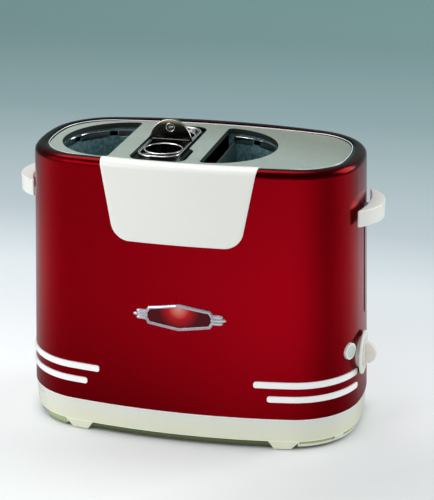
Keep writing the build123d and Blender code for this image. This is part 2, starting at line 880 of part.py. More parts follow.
# Sheet that rests on the deck and carries wells, end plates and heater boards
with BuildPart() as lower_frame:
    with BuildSketch(Plane.XY.offset(shell_bottom)):
        body_outline(flare - shell_wall - lip_gap - lip_thickness - slide_gap)
        for side in (-1, 1):
            opening = well_sketch(side, well_opening_radius - sheet, well_wall_offset + 2 * sheet)
            add(opening, mode=Mode.SUBTRACT)
        with Locations((group_x, 0)):
            Rectangle(cage_opening_width - 2 * sheet, 2 * guard_window_half, mode=Mode.SUBTRACT)
    extrude(amount=frame_sheet)

# End plates of the inner frame
with BuildPart() as left_end_plate:
    with BuildSketch(Plane.YZ.offset(left_plate_x)):
        with Locations((0, frame_top)):
            Rectangle(
                2 * left_plate_half_width, end_plate_top - frame_top, align=(Align.CENTER, Align.MIN)
            )
    extrude(amount=-end_plate_sheet)
    with BuildSketch(Plane.XY.offset(frame_top)):
        with Locations((left_plate_x, 0)):
            Rectangle(left_plate_foot, 2 * left_plate_half_width, align=(Align.MAX, Align.CENTER))
    extrude(amount=end_plate_sheet)
    with BuildSketch(Plane.YZ.offset(left_plate_x)):
        with Locations((0, (frame_top + end_plate_top) / 2)):
            with GridLocations(left_plate_half_width, 2 * left_plate_half_width, 2, 2):
                SlotOverall(left_plate_half_width, arm_channel, rotation=90)
    extrude(amount=-end_plate_sheet, mode=Mode.SUBTRACT)

with BuildPart() as right_end_plate:
    with BuildSketch(Plane.YZ.offset(right_plate_x)):
        with Locations((0, frame_top)):
            Rectangle(
                2 * right_plate_half_width, end_plate_top - frame_top, align=(Align.CENTER, Align.MIN)
            )
    extrude(amount=end_plate_sheet)
    with BuildSketch(Plane.XY.offset(frame_top)):
        with Locations((right_plate_x, 0)):
            Rectangle(fold_length, 2 * bottom_fold_half_width, align=(Align.MIN, Align.CENTER))
    extrude(amount=end_plate_sheet)
    with BuildSketch(Plane.XY.offset(end_plate_top)):
        with Locations((right_plate_x, top_fold_back)):
            Rectangle(fold_length, top_fold_front + top_fold_back, align=(Align.MIN, Align.MAX))
    extrude(amount=-end_plate_sheet)
    add(arm_slot(frame_top + end_plate_sheet, channel_top), mode=Mode.SUBTRACT)
    with BuildSketch(Plane.XY.offset(frame_top - overrun)):
        with Locations((rod_x, rod_y)):
            Circle(rod_radius + seat_gap / 2)
    extrude(amount=end_plate_top - frame_top + 2 * overrun, mode=Mode.SUBTRACT)

# Guide rod between the folds of the right end plate
with BuildPart() as guide_rod:
    with BuildSketch(Plane.XY.offset(frame_top)):
        with Locations((rod_x, rod_y)):
            Circle(rod_radius)
    extrude(amount=end_plate_top - frame_top + rod_radius)
    chamfer(guide_rod.edges().group_by(Axis.Z)[-1], rod_radius / 4)

# Wells: curved reflector and flat inner wall of each side
well_parts = {}
for side, word in ((-1, "left"), (1, "right")):
    centre_x = group_x + side * straight_offset
    well_height = well_top - frame_top
    with BuildPart() as well:
        with BuildSketch(Plane.XY.offset(frame_top)):
            add(well_sketch(side, well_radius + sheet, straight_offset - sheet))
            add(well_sketch(side, well_radius, straight_offset - reach), mode=Mode.SUBTRACT)
        extrude(amount=well_height)
        with BuildSketch(Plane.XY.offset(frame_top)):
            with Locations((centre_x, 0)):
                with GridLocations(0, 2 * well_radius + well_flange + sheet, 1, 2):
                    Rectangle(sheet, well_flange + sheet)
        extrude(amount=well_height - well_wall_drop)
        add(arm_slot(frame_top, channel_top), mode=Mode.SUBTRACT)
        for angle in vent_angles:
            turn = angle if side > 0 else 180 - angle
            direction = (cos(radians(turn)), sin(radians(turn)), 0)
            vent_plane = Plane(
                origin=(centre_x, 0, well_top - vent_drop), x_dir=(0, 0, 1), z_dir=direction
            )
            with BuildSketch(vent_plane):
                Rectangle(vent_height, vent_width)
            extrude(amount=well_radius + overrun, mode=Mode.SUBTRACT)
    well_parts[word + "_well"] = well.part

    wall_x = group_x + side * (well_wall_offset + sheet / 2)
    with BuildPart() as flat_wall:
        with BuildSketch(Plane.XY.offset(frame_top)):
            with Locations((wall_x, 0)):
                Rectangle(sheet, 2 * well_opening_radius - 2 * sheet)
        extrude(amount=well_top - well_wall_drop - frame_top)
        add(arm_slot(frame_top, channel_top), mode=Mode.SUBTRACT)
    well_parts[word + "_well_wall"] = flat_wall.part

# Guard round the cage: an oblong sleeve with open sides and an inward flange that carries the cage
guard_width = cage_opening_width
guard_length = cage_opening_front + cage_opening_back - 2 * sheet
guard_y = (cage_opening_back - cage_opening_front) / 2

with BuildPart() as cage_guard:
    with BuildSketch(Plane.XY.offset(frame_top)):
        with Locations((group_x, guard_y)):
            RectangleRounded(guard_width, guard_length, cage_opening_round)
            RectangleRounded(
                guard_width - 2 * sheet,
                guard_length - 2 * sheet,
                cage_opening_round - sheet,
                mode=Mode.SUBTRACT,
            )
    extrude(amount=well_top - frame_top)
    with BuildSketch(Plane.XY.offset(well_top - sheet)):
        with Locations((group_x, guard_y)):
            RectangleRounded(guard_width, guard_length, cage_opening_round)
        with Locations((group_x, cage_y)):
            RectangleRounded(
                guard_width - 2 * guard_flange,
                cage_rim_length - 2 * cage_bead_width,
                cage_opening_round,
                mode=Mode.SUBTRACT,
            )
    extrude(amount=sheet)
    with BuildSketch(Plane.YZ):
        with Locations((0, frame_top)):
            Rectangle(
                2 * guard_window_half, guard_window_top - frame_top, align=(Align.CENTER, Align.MIN)
            )
    extrude(amount=reach, both=True, mode=Mode.SUBTRACT)

# Heater boards, split so that the lifter arm passes between them, with a ribbon on each
board_parts = {}
for side, word in ((-1, "left"), (1, "right")):
    for front, place in ((-1, "front"), (1, "back")):
        board_x = group_x + side * (board_offset + mica / 2)
        middle_y = front * (board_inner_y + board_outer_y) / 2
        with BuildPart() as heater_board:
            with BuildSketch(Plane.XY.offset(frame_top)):
                with Locations((board_x, middle_y)):
                    Rectangle(mica, board_outer_y - board_inner_y)
            extrude(amount=board_top - frame_top)
        board_parts[f"{word}_{place}_heater"] = heater_board.part

        near_y = board_inner_y + ribbon_margin
        far_y = board_outer_y - ribbon_margin
        row_pitch = (ribbon_top - ribbon_bottom) / (ribbon_rows - 1)
        turns = []
        for row in range(ribbon_rows):
            ends = (near_y, far_y) if row % 2 else (far_y, near_y)
            turns += [(front * end, ribbon_bottom + row * row_pitch) for end in ends]
        with BuildPart() as ribbon:
            with BuildSketch(Plane.YZ.offset(group_x + side * (board_offset + mica))):
                with BuildLine() as ribbon_path:
                    Polyline(*turns)
                trace(ribbon_path.edges(), line_width=ribbon_width)
            extrude(amount=side * ribbon_thickness)
        board_parts[f"{word}_{place}_ribbon"] = ribbon.part

# Carriage: an upright sheet with two ears on the rod, a spring hook, a contact tab and the tongue
with BuildPart() as carriage:
    with BuildSketch(Plane.YZ.offset(carriage_x)):
        with Locations((0, carriage_bottom)):
            Rectangle(
                2 * carriage_half_width, carriage_top - carriage_bottom, align=(Align.CENTER, Align.MIN)
            )
    extrude(amount=carriage_sheet)
    for ear_height in (carriage_bottom, carriage_top - carriage_sheet):
        with BuildSketch(Plane.XY.offset(ear_height)):
            with Locations((carriage_x, rod_y)):
                Rectangle(ear_length, 2 * ear_half_width, align=(Align.MIN, Align.CENTER))
        extrude(amount=carriage_sheet)
    with BuildSketch(Plane.XY.offset(armature_height + armature_thickness)):
        with Locations((carriage_x, magnet_y)):
            Rectangle(ear_length, magnet_width / 2, align=(Align.MIN, Align.CENTER))
    extrude(amount=carriage_sheet)
    with BuildSketch(Plane.XY.offset(hook_tab_height - carriage_sheet)):
        with Locations((carriage_x, spring_y)):
            Rectangle(hook_tab_length, hook_tab_width, align=(Align.MIN, Align.CENTER))
    extrude(amount=carriage_sheet)
    with BuildSketch(Plane.XY.offset(contact_tab_height)):
        with Locations((carriage_x, carriage_half_width - carriage_sheet)):
            Rectangle(
                contact_tab_length,
                contact_tab_end - carriage_half_width + carriage_sheet,
                align=(Align.MIN, Align.MIN),
            )
    extrude(amount=carriage_sheet)
    with BuildSketch(Plane.XZ):
        with Locations((carriage_x, lever_middle)):
            Rectangle(
                handle_inner + (handle_apex - handle_inner) / 2 - carriage_x,
                tongue_height,
                align=(Align.MIN, Align.CENTER),
            )
    extrude(amount=tongue_thickness / 2, both=True)
    with BuildSketch(Plane.XY.offset(carriage_bottom - overrun)):
        with Locations((rod_x, rod_y)):
            Circle(rod_radius + running_gap)
    extrude(amount=carriage_top - carriage_bottom + 2 * overrun, mode=Mode.SUBTRACT)

# Lifter arm, notched down where it meets the carriage, and the two bun lifters on it
arm_end_x = group_x - straight_offset - well_opening_radius + 2 * lifter_gap

with BuildPart() as lifter_arm:
    with BuildSketch(Plane.XZ):
        with Locations((carriage_x, arm_bottom)):
            Rectangle(carriage_x - arm_end_x, arm_height, align=(Align.MAX, Align.MIN))
    extrude(amount=arm_thickness / 2, both=True)

lifter_parts = {}
for side, word in ((-1, "left"), (1, "right")):
    plate_radius = well_opening_radius - lifter_gap
    plate_offset = well_wall_offset + lifter_gap
    with BuildPart() as bun_lifter:
        with BuildSketch(Plane.XY.offset(arm_top)):
            add(well_sketch(side, plate_radius, plate_offset, well_corner_round))
        extrude(amount=lifter_sheet)
        with BuildSketch(Plane.XY.offset(arm_top)):
            add(well_sketch(side, plate_radius, plate_offset, well_corner_round))
            inner = well_sketch(side, plate_radius - sheet, plate_offset + sheet, well_corner_round)
            add(inner, mode=Mode.SUBTRACT)
        extrude(amount=-lifter_rim)
        with BuildSketch(Plane.XY.offset(arm_top - lifter_rim)):
            Rectangle(2 * reach, arm_thickness + 2 * seat_gap)
        extrude(amount=lifter_rim, mode=Mode.SUBTRACT)
        lifter_x = group_x + side * (straight_offset + well_opening_radius / 2)
        with BuildSketch(Plane.XY.offset(arm_top)):
            with Locations((lifter_x, 0)):
                with GridLocations(well_opening_radius / 4, well_opening_radius / 2, 3, 3):
                    SlotOverall(well_opening_radius / 4, arm_channel / 2, rotation=90)
                Rectangle(reach / 4, arm_channel, mode=Mode.SUBTRACT)
        extrude(amount=lifter_sheet, mode=Mode.SUBTRACT)
    lifter_parts[word + "_bun_lifter"] = bun_lifter.part

# Armature under its ear, and the magnet that holds it at the bottom of the travel
with BuildPart() as armature:
    with BuildSketch(Plane.XY.offset(armature_height)):
        with Locations((magnet_x, magnet_y)):
            Rectangle(magnet_length, magnet_width)
    extrude(amount=armature_thickness)
    chamfer(armature.edges().group_by(Axis.Z)[-1], armature_thickness / 4)

with BuildPart() as magnet_core:
    with BuildSketch(Plane.YZ.offset(magnet_x)):
        with Locations((magnet_y, magnet_bottom)):
            Rectangle(magnet_width, magnet_yoke, align=(Align.CENTER, Align.MIN))
            Rectangle(magnet_core_leg, magnet_height, align=(Align.CENTER, Align.MIN))
            with GridLocations(magnet_width - magnet_leg, 0, 2, 1):
                Rectangle(magnet_leg, magnet_height, align=(Align.CENTER, Align.MIN))
    extrude(amount=magnet_length / 2, both=True)

with BuildPart() as magnet_coil:
    coil_width = magnet_width - 2 * magnet_leg - 2 * seat_gap
    coil_side = coil_width - magnet_core_leg
    with BuildSketch(Plane.XY.offset(magnet_bottom + magnet_yoke + seat_gap)):
        with Locations((magnet_x, magnet_y)):
            RectangleRounded(magnet_length + coil_side, coil_width, coil_side / 3)
            Rectangle(
                magnet_length + 2 * seat_gap, magnet_core_leg + 2 * seat_gap, mode=Mode.SUBTRACT
            )
    extrude(amount=magnet_height - magnet_yoke - 2 * armature_thickness)

# Power contacts: two leaves in a block, closed by the carriage's tab
with BuildPart() as contact_block:
    with BuildSketch(Plane.XY.offset(magnet_bottom)):
        with Locations((contact_x, contact_y)):
            Rectangle(contact_block_length, contact_block_width)
    extrude(amount=contact_block_height)
    chamfer(contact_block.edges().group_by(Axis.Z)[-1], contact_leaf)

with BuildPart() as contact_leaves:
    with BuildSketch(Plane.XY.offset(magnet_bottom + contact_block_height)):
        with Locations((contact_x, contact_y)):
            with GridLocations(contact_spacing, 0, 2, 1):
                Rectangle(contact_leaf, contact_block_width / 2)
    extrude(amount=contact_top - magnet_bottom - contact_block_height)

# Return spring: closed coil with a straight leg at each end, drawn between two sheets
with BuildPart() as return_spring:
    spring_low = hook_tab_height
    spring_high = end_plate_top - end_plate_sheet
    with BuildSketch(Plane.XY.offset(spring_low)):
        with Locations((spring_x, spring_y)):
            Circle(spring_wall / 2)
    extrude(amount=spring_high - spring_low)
    with BuildSketch(Plane.XY.offset(spring_low + spring_hook)):
        with Locations((spring_x, spring_y)):
            Circle(spring_radius)
    extrude(amount=spring_high - spring_low - 2 * spring_hook)


# Handles
def crescent(tip_x, half_width, bottom):
    """A crescent at the right end: an outer and an inner arc that meet at two blunt tips."""
    with BuildPart() as shape:
        with BuildSketch(Plane.XY.offset(bottom)):
            with BuildLine():
                outer = ThreePointArc((tip_x, -half_width), (handle_apex, 0), (tip_x, half_width))
                ThreePointArc(outer @ 1, (handle_inner, 0), outer @ 0)
            make_face()
        extrude(amount=handle_height)
        fillet(shape.edges().filter_by(Axis.Z), handle_tip_round)
        fillet(shape.faces().filter_by(Axis.Z).edges(), handle_edge_round / 2)
    return shape.part


with BuildPart() as lever_handle:
    add(crescent(lever_tip_x, lever_half_width, lever_top - handle_height))
    with BuildSketch(Plane.XZ):
        with Locations((carriage_x, lever_middle)):
            Rectangle(
                handle_inner + (handle_apex - handle_inner) / 2 - carriage_x + seat_gap,
                tongue_height + 2 * seat_gap,
                align=(Align.MIN, Align.CENTER),
            )
    extrude(amount=tongue_thickness / 2 + seat_gap, both=True, mode=Mode.SUBTRACT)

screw_tip_x = half_length + handle_screw_length / 2
handle_low = fixed_handle_top - 2 * handle_height
handle_high = fixed_handle_top + overrun

with BuildPart() as left_handle:
    handle_form = crescent(fixed_handle_tip_x, fixed_handle_half_width, fixed_handle_top - handle_height)
    add(mirror(handle_form, about=Plane.YZ, mode=Mode.PRIVATE))
    with BuildSketch(left_wall_plane):
        RectangleRounded(2 * pedestal_half_width, pedestal_height, pedestal_height / 4)
    extrude(amount=handle_inner - half_length + handle_edge_round)
    add(body_block(0, handle_low, handle_high), mode=Mode.SUBTRACT)
    with BuildSketch(left_wall_plane):
        with GridLocations(2 * handle_screw_y, 0, 2, 1):
            Circle(handle_screw_radius)
    extrude(amount=screw_tip_x - half_length, mode=Mode.SUBTRACT)

screw_seat_x = half_length + grow_at(fixed_handle_top) - shell_wall - handle_screw_seat

with BuildPart() as handle_screws:
    screw_plane = left_wall_plane.offset(screw_seat_x - half_length)
    with BuildSketch(screw_plane):
        with GridLocations(2 * handle_screw_y, 0, 2, 1):
            Circle(handle_screw_radius)
    extrude(amount=screw_tip_x - screw_seat_x)
    with BuildSketch(screw_plane):
        with GridLocations(2 * handle_screw_y, 0, 2, 1):
            Circle(handle_screw_head)
    extrude(amount=-handle_screw_head_depth)

# Timer knob in its bezel
knob_low = knob_height - 2 * bezel_radius
knob_high = knob_height + 2 * bezel_radius
knob_seat = bezel_depth - bezel_step

with BuildPart() as knob_bezel:
    with BuildSketch(knob_plane.offset(-overrun)):
        Circle(bezel_foot_radius)
    extrude(amount=overrun + bezel_lift)
    with BuildSketch(knob_plane.offset(bezel_lift)):
        Circle(bezel_radius)
    extrude(amount=bezel_depth - bezel_lift)
    fillet(knob_bezel.faces().sort_by(Axis.X)[-1].edges(), bezel_round)
    add(body_block(0, knob_low, knob_high), mode=Mode.SUBTRACT)
    with BuildSketch(knob_plane):
        Circle(spigot_radius)
    extrude(amount=-shell_wall - spigot_tail)
    with BuildSketch(knob_plane.offset(knob_seat)):
        Circle(knob_radius + knob_gap)
    extrude(amount=overrun, mode=Mode.SUBTRACT)
    with BuildSketch(knob_plane):
        Circle(shaft_radius + shaft_clearance)
    extrude(amount=2 * overrun, both=True, mode=Mode.SUBTRACT)

board_plane = knob_plane.offset(-board_depth)
timer_front = knob_plane.offset(timer_depth - board_depth)

with BuildPart() as timer_knob:
    with BuildSketch(knob_plane.offset(knob_seat + knob_gap)):
        Circle(knob_radius)
    extrude(amount=knob_disc)
    knob_front = knob_plane.offset(knob_seat + knob_gap + knob_disc)
    blade_plane = Plane(origin=knob_front.origin, x_dir=knob_plane.z_dir, z_dir=knob_plane.y_dir)
    with BuildSketch(blade_plane):
        Circle(blade_radius)
        Rectangle(blade_radius, 2 * blade_radius, align=(Align.MAX, Align.CENTER), mode=Mode.SUBTRACT)
    extrude(amount=blade_thickness / 2, both=True)
    fillet(timer_knob.edges().sort_by(Axis.X)[-2:], blade_round)
    with BuildSketch(board_plane.offset(timer_floor + slide_gap)):
        Circle(shaft_radius)
    extrude(amount=board_depth + knob_seat + knob_gap - timer_floor - slide_gap)

with BuildPart() as timer_body:
    with BuildSketch(board_plane):
        Rectangle(timer_side, timer_side)
    extrude(amount=timer_depth)
    with BuildSketch(timer_front):
        Circle(shaft_radius + running_gap + bushing_wall)
    extrude(amount=bushing_length)
    with BuildSketch(board_plane.offset(timer_floor)):
        Circle(shaft_radius + running_gap)
    extrude(amount=timer_depth + bushing_length, mode=Mode.SUBTRACT)

# Control board behind the knob, on its bracket
board_middle = frame_top + board_bottom_gap + board_height / 2 - knob_height
screw_up = frame_top + board_bottom_gap + (bracket_height - board_bottom_gap) / 2 - knob_height

with BuildPart() as control_board:
    with BuildSketch(board_plane):
        with Locations((board_middle, board_shift)):
            Rectangle(board_height, board_width)
        with Locations((screw_up, board_shift)):
            with GridLocations(0, board_screw_spacing, 1, 2):
                Circle(board_screw_radius, mode=Mode.SUBTRACT)
    extrude(amount=-board_thickness)

board_back = board_plane.offset(-board_thickness)
bracket_plane = Plane(
    origin=(board_back.origin.X, board_back.origin.Y, frame_top),
    x_dir=knob_plane.z_dir,
    z_dir=(0, 0, 1),
)

with BuildPart() as board_bracket:
    with BuildSketch(board_back):
        with Locations((frame_top - knob_height, board_shift)):
            Rectangle(bracket_height, board_width, align=(Align.MIN, Align.CENTER))
        with Locations((screw_up, board_shift)):
            with GridLocations(0, board_screw_spacing, 1, 2):
                Circle(board_screw_radius, mode=Mode.SUBTRACT)
    extrude(amount=-bracket_sheet)
    with BuildSketch(bracket_plane):
        with Locations((0, -board_shift)):
            Rectangle(bracket_foot, board_width, align=(Align.MAX, Align.CENTER))
    extrude(amount=bracket_sheet)

with BuildPart() as board_screws:
    with BuildSketch(board_plane):
        with Locations((screw_up, board_shift)):
            with GridLocations(0, board_screw_spacing, 1, 2):
                Circle(board_screw_head)
    extrude(amount=board_screw_head_depth)
    with BuildSketch(board_plane):
        with Locations((screw_up, board_shift)):
            with GridLocations(0, board_screw_spacing, 1, 2):
                Circle(board_screw_radius)
    extrude(amount=-board_thickness - 2 * bracket_sheet)

# Stop switch on the board, square to the button that presses it
button_to_board = (button_plane.origin - board_plane.origin).dot(knob_plane.z_dir)
switch_back = button_to_board / button_plane.z_dir.dot(knob_plane.z_dir)
switch_plane = button_plane.offset(switch_depth - switch_back)

with BuildPart() as stop_switch:
    with BuildSketch(switch_plane):
        Rectangle(switch_side, switch_side)
    extrude(amount=-2 * switch_depth)
    with BuildSketch(board_plane):
        Rectangle(2 * board_height, 2 * board_width)
    extrude(amount=-reach, mode=Mode.SUBTRACT)
    with BuildSketch(switch_plane):
        Circle(switch_cap_radius)
    extrude(amount=switch_cap)

flange_front = shell_wall + button_behind_wall
stem_end = switch_back - switch_depth - switch_cap - button_travel - seat_gap

with BuildPart() as stop_button:
    with BuildSketch(button_plane.offset(-flange_front)):
        Circle(button_radius)
    extrude(amount=flange_front + button_proud)
    fillet(stop_button.faces().sort_by(Axis.X)[-1].edges(), button_gap)
    with BuildSketch(button_plane.offset(-flange_front)):
        Circle(button_radius + button_flange)
    extrude(amount=-button_flange_sheet)
    with BuildSketch(button_plane.offset(-flange_front - button_flange_sheet)):
        Circle(button_stem_radius)
    extrude(amount=flange_front + button_flange_sheet - stem_end)

# Lift-out cage: a beaded rim, two slotted tubes with floors, and the tab with its eyelet
with BuildPart() as cage_rim:
    with BuildSketch(Plane.XY.offset(cage_rim_low)):
        with Locations((group_x, cage_y)):
            RectangleRounded(cage_rim_width, cage_rim_length, cage_rim_round)
            RectangleRounded(
                cage_rim_width - 2 * cage_bead_width,
                cage_rim_length - 2 * cage_bead_width,
                cage_rim_round - cage_bead_width,
                mode=Mode.SUBTRACT,
            )
    extrude(amount=cage_bead_height)
    fillet(cage_rim.edges().group_by(Axis.Z)[-1], cage_bead_width / 3)
    with BuildSketch(Plane.XY.offset(cage_rim_low)):
        with Locations((group_x, cage_y)):
            RectangleRounded(
                cage_rim_width - cage_bead_width,
                cage_rim_length - cage_bead_width,
                cage_rim_round - cage_bead_width / 2,
            )
            with GridLocations(0, cage_tube_spacing, 1, 2):
                Circle(cage_tube_radius - sheet, mode=Mode.SUBTRACT)
    extrude(amount=cage_rim_sheet)
    with BuildSketch(Plane.XY.offset(cage_rim_low)):
        with Locations((group_x, cage_y)):
            with GridLocations(0, cage_tube_spacing, 1, 2):
                Circle(cage_tube_radius - sheet + cage_hole_bead)
                Circle(cage_tube_radius - sheet, mode=Mode.SUBTRACT)
    extrude(amount=cage_rim_sheet + cage_hole_bead_height)

slot_height = cage_rim_low - cage_tube_bottom - cage_slot_bottom_margin - cage_slot_top_margin
slot_bottom = cage_tube_bottom + cage_slot_bottom_margin

with BuildPart() as cage_tubes:
    tube_places = [(group_x, cage_y + end * cage_tube_spacing / 2) for end in (-1, 1)]
    with BuildSketch(Plane.XY.offset(cage_tube_bottom)):
        with Locations(*tube_places):
            Circle(cage_tube_radius)
    extrude(amount=cage_rim_low - cage_tube_bottom)
    with BuildSketch(Plane.XY.offset(cage_tube_bottom + sheet)):
        with Locations(*tube_places):
            Circle(cage_tube_radius - sheet)
    extrude(amount=cage_rim_low - cage_tube_bottom, mode=Mode.SUBTRACT)
    with BuildSketch(Plane.XY.offset(cage_tube_bottom)):
        with Locations(*tube_places):
            with PolarLocations(cage_floor_hole_ring, cage_floor_hole_count):
                Circle(cage_floor_hole_radius)
    extrude(amount=sheet, mode=Mode.SUBTRACT)
    with BuildSketch(Plane.XY.offset(slot_bottom)):
        with Locations(*tube_places):
            with PolarLocations(cage_tube_radius - sheet / 2, cage_slot_count):
                Rectangle(3 * sheet, cage_slot_width)
    extrude(amount=slot_height, mode=Mode.SUBTRACT)

tab_plane = Plane.XZ.offset(-tab_y)

with BuildPart() as lift_tab:
    with BuildSketch(tab_plane):
        with Locations((group_x, cage_rim_high)):
            Circle(tab_radius)
            Rectangle(2 * tab_radius, tab_radius, align=(Align.CENTER, Align.MAX), mode=Mode.SUBTRACT)
        with Locations((group_x, cage_rim_low + cage_rim_sheet)):
            Rectangle(
                cage_rim_width - 2 * cage_bead_width - 2 * seat_gap,
                cage_bead_height - cage_rim_sheet,
                align=(Align.CENTER, Align.MIN),
            )
        with Locations((group_x, cage_rim_high + eyelet_height)):
            Circle(eyelet_bore + sheet, mode=Mode.SUBTRACT)
    extrude(amount=tab_thickness / 2, both=True)
    with BuildSketch(tab_plane):
        with Locations((group_x, cage_rim_high)):
            Circle(tab_radius)
            Circle(tab_radius - tab_thickness, mode=Mode.SUBTRACT)
            Rectangle(
                2 * tab_lip_half_width,
                tab_radius,
                align=(Align.CENTER, Align.MIN),
                mode=Mode.INTERSECT,
            )
    extrude(amount=-tab_lip_depth)

with BuildPart() as tab_eyelet:
    with BuildSketch(tab_plane):
        with Locations((group_x, cage_rim_high + eyelet_height)):
            Circle(eyelet_bore + sheet)
    extrude(amount=eyelet_thickness / 2, both=True)
    for face_side in (-1, 1):
        with BuildSketch(tab_plane.offset(face_side * tab_thickness / 2)):
            with Locations((group_x, cage_rim_high + eyelet_height)):
                Circle(eyelet_radius)
        extrude(amount=face_side * (eyelet_thickness - tab_thickness) / 2)
    with BuildSketch(tab_plane):
        with Locations((group_x, cage_rim_high + eyelet_height)):
            Circle(eyelet_bore)
    extrude(amount=eyelet_thickness, both=True, mode=Mode.SUBTRACT)

pieces = {
    "outer_shell": outer_shell.part,
    "top_plate": top_plate.part,
    "front_apron": front_apron.part,
    **trim_parts,
    "badge_bezel": badge_bezel.part,
    "badge_insert": badge_insert.part,
    "base": base.part,
    "foot_pads": foot_pads.part,
    "bottom_plate": bottom_plate.part,
    "base_screws": base_screws.part,
    "crumb_tray": crumb_tray.part,
    "inlet_bush": inlet_bush.part,
    "lower_frame": lower_frame.part,
    "left_end_plate": left_end_plate.part,
    "right_end_plate": right_end_plate.part,
    "guide_rod": guide_rod.part,
    **well_parts,
    "cage_guard": cage_guard.part,
    **board_parts,
    "carriage": carriage.part,
    "lifter_arm": lifter_arm.part,
    **lifter_parts,
    "armature": armature.part,
    "magnet_core": magnet_core.part,
    "magnet_coil": magnet_coil.part,
    "contact_block": contact_block.part,
    "contact_leaves": contact_leaves.part,
    "return_spring": return_spring.part,
    "lever_handle": lever_handle.part,
    "left_handle": left_handle.part,
    "handle_screws": handle_screws.part,
    "knob_bezel": knob_bezel.part,
    "timer_knob": timer_knob.part,
    "timer_body": timer_body.part,
    "control_board": control_board.part,
    "board_bracket": board_bracket.part,
    "board_screws": board_screws.part,
    "stop_switch": stop_switch.part,
    "stop_button": stop_button.part,
    "cage_rim": cage_rim.part,
    "cage_tubes": cage_tubes.part,
    "lift_tab": lift_tab.part,
    "tab_eyelet": tab_eyelet.part,
}
for name, piece in pieces.items():
    piece.label = name
    export_step(piece, f"parts/{name}.step")
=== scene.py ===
"""Looks of a pop-up hot dog toaster, laid out as a Blender add-on and run as a script.

Metres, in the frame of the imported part: +Z up, +X to the lever end, -Y to the front. A turn about the
body starts at the front and goes to the right. A table in millimetres or degrees says so.
"""

import json
from math import atan, atan2, cos, pi, radians, sin

import bmesh
import bpy
import numpy as np
from mathutils import Matrix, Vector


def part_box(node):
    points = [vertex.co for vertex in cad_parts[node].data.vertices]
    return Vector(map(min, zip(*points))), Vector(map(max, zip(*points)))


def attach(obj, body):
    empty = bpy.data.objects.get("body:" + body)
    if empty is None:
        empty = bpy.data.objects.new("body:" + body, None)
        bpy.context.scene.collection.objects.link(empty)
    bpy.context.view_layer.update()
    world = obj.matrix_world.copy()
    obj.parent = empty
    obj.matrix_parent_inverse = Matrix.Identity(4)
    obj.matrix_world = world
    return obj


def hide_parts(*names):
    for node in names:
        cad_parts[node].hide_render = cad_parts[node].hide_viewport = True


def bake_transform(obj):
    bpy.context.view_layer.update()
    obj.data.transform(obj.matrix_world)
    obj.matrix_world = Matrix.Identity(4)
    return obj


bl_info = {
    "name": "Hot dog toaster looks",
    "version": (1, 0, 0),
    "blender": (4, 5, 0),
    "location": "View3D > Sidebar > Toaster",
    "description": "Finishes, small trim and a plain stage for a pop-up hot dog toaster",
    "category": "Object",
}

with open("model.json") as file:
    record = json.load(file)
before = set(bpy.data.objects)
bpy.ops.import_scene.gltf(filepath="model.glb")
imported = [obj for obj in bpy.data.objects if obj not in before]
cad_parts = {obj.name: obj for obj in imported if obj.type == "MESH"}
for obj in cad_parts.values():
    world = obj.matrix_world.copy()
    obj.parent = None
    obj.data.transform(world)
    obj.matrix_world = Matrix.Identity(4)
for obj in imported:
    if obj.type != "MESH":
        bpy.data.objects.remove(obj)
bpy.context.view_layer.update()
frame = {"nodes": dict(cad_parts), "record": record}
MM = 0.001

# Body outline, as the part has it: a face arc, a corner arc and an end arc in each quarter
HALF_LENGTH = 130.0 * MM
HALF_DEPTH = 69.6 * MM
END_RADIUS = 132.0 * MM
CORNER_RADIUS = 50.5 * MM
CORNER_ANGLE = radians(8.6)
FLARE = 5.5 * MM
SHELL_BOTTOM = 26.9 * MM
RIM_TOP = 225.9 * MM
END_CENTRE = HALF_LENGTH - END_RADIUS
CORNER_X = END_CENTRE + (END_RADIUS - CORNER_RADIUS) * cos(CORNER_ANGLE)
CORNER_Y = (END_RADIUS - CORNER_RADIUS) * sin(CORNER_ANGLE)
CORNER_DROP = HALF_DEPTH - CORNER_Y
CORNER_REACH = CORNER_X**2 + CORNER_DROP**2
FACE_RADIUS = (CORNER_REACH - CORNER_RADIUS**2) / (2 * (CORNER_DROP - CORNER_RADIUS))
FACE_CENTRE = HALF_DEPTH - FACE_RADIUS
FACE_ANGLE = atan2(CORNER_Y - FACE_CENTRE, CORNER_X)

# Rim and plate
RIM_WIDTH = 10.5 * MM
RIM_OUTER_ROUND = 6.0 * MM
RIM_INNER_ROUND = 2.8 * MM
PLATE_TOP = 224.2 * MM

# Apron: its side leans by a slope and has a given half width at a given height
APRON_X = -1.0 * MM
APRON_BOTTOM = 164.0 * MM
APRON_SIDE_Z = 177.0 * MM
APRON_SIDE_X = 52.0 * MM
APRON_SLOPE = 10.0 / 53.9
APRON_ROUND = 15.0 * MM
APRON_PROUD = 0.5 * MM
APRON_INNER_DROP = 4.2 * MM

# Badge, with half of its outline's corners and its frame's section, inset and height, in millimetres
BADGE_X = 1.8 * MM
BADGE_Z = 106.2 * MM
BADGE_CORNERS = ((29.0, 0.0), (24.7, 7.1), (0.0, 10.8), (-24.7, 7.1))
BADGE_SECTION = (
    (0.0, 0.05), (0.0, 1.1), (0.3, 1.65), (0.95, 2.0), (1.55, 1.75),
    (1.8, 0.9), (2.0, 0.9), (2.15, 1.35), (2.35, 1.25), (2.4, 0.05),
)

# Wells, with the turns of their air holes in degrees from the middle of the arc
GROUP_X = -24.6 * MM
STRAIGHT_OFFSET = 36.1 * MM
WELL_RADIUS = 51.2 * MM
WELL_TOP = 221.1 * MM
VENT_DROP = 6.5 * MM
VENT_WIDTH = 7.0 * MM
VENT_ANGLES = (-62, -24, 24, 62)

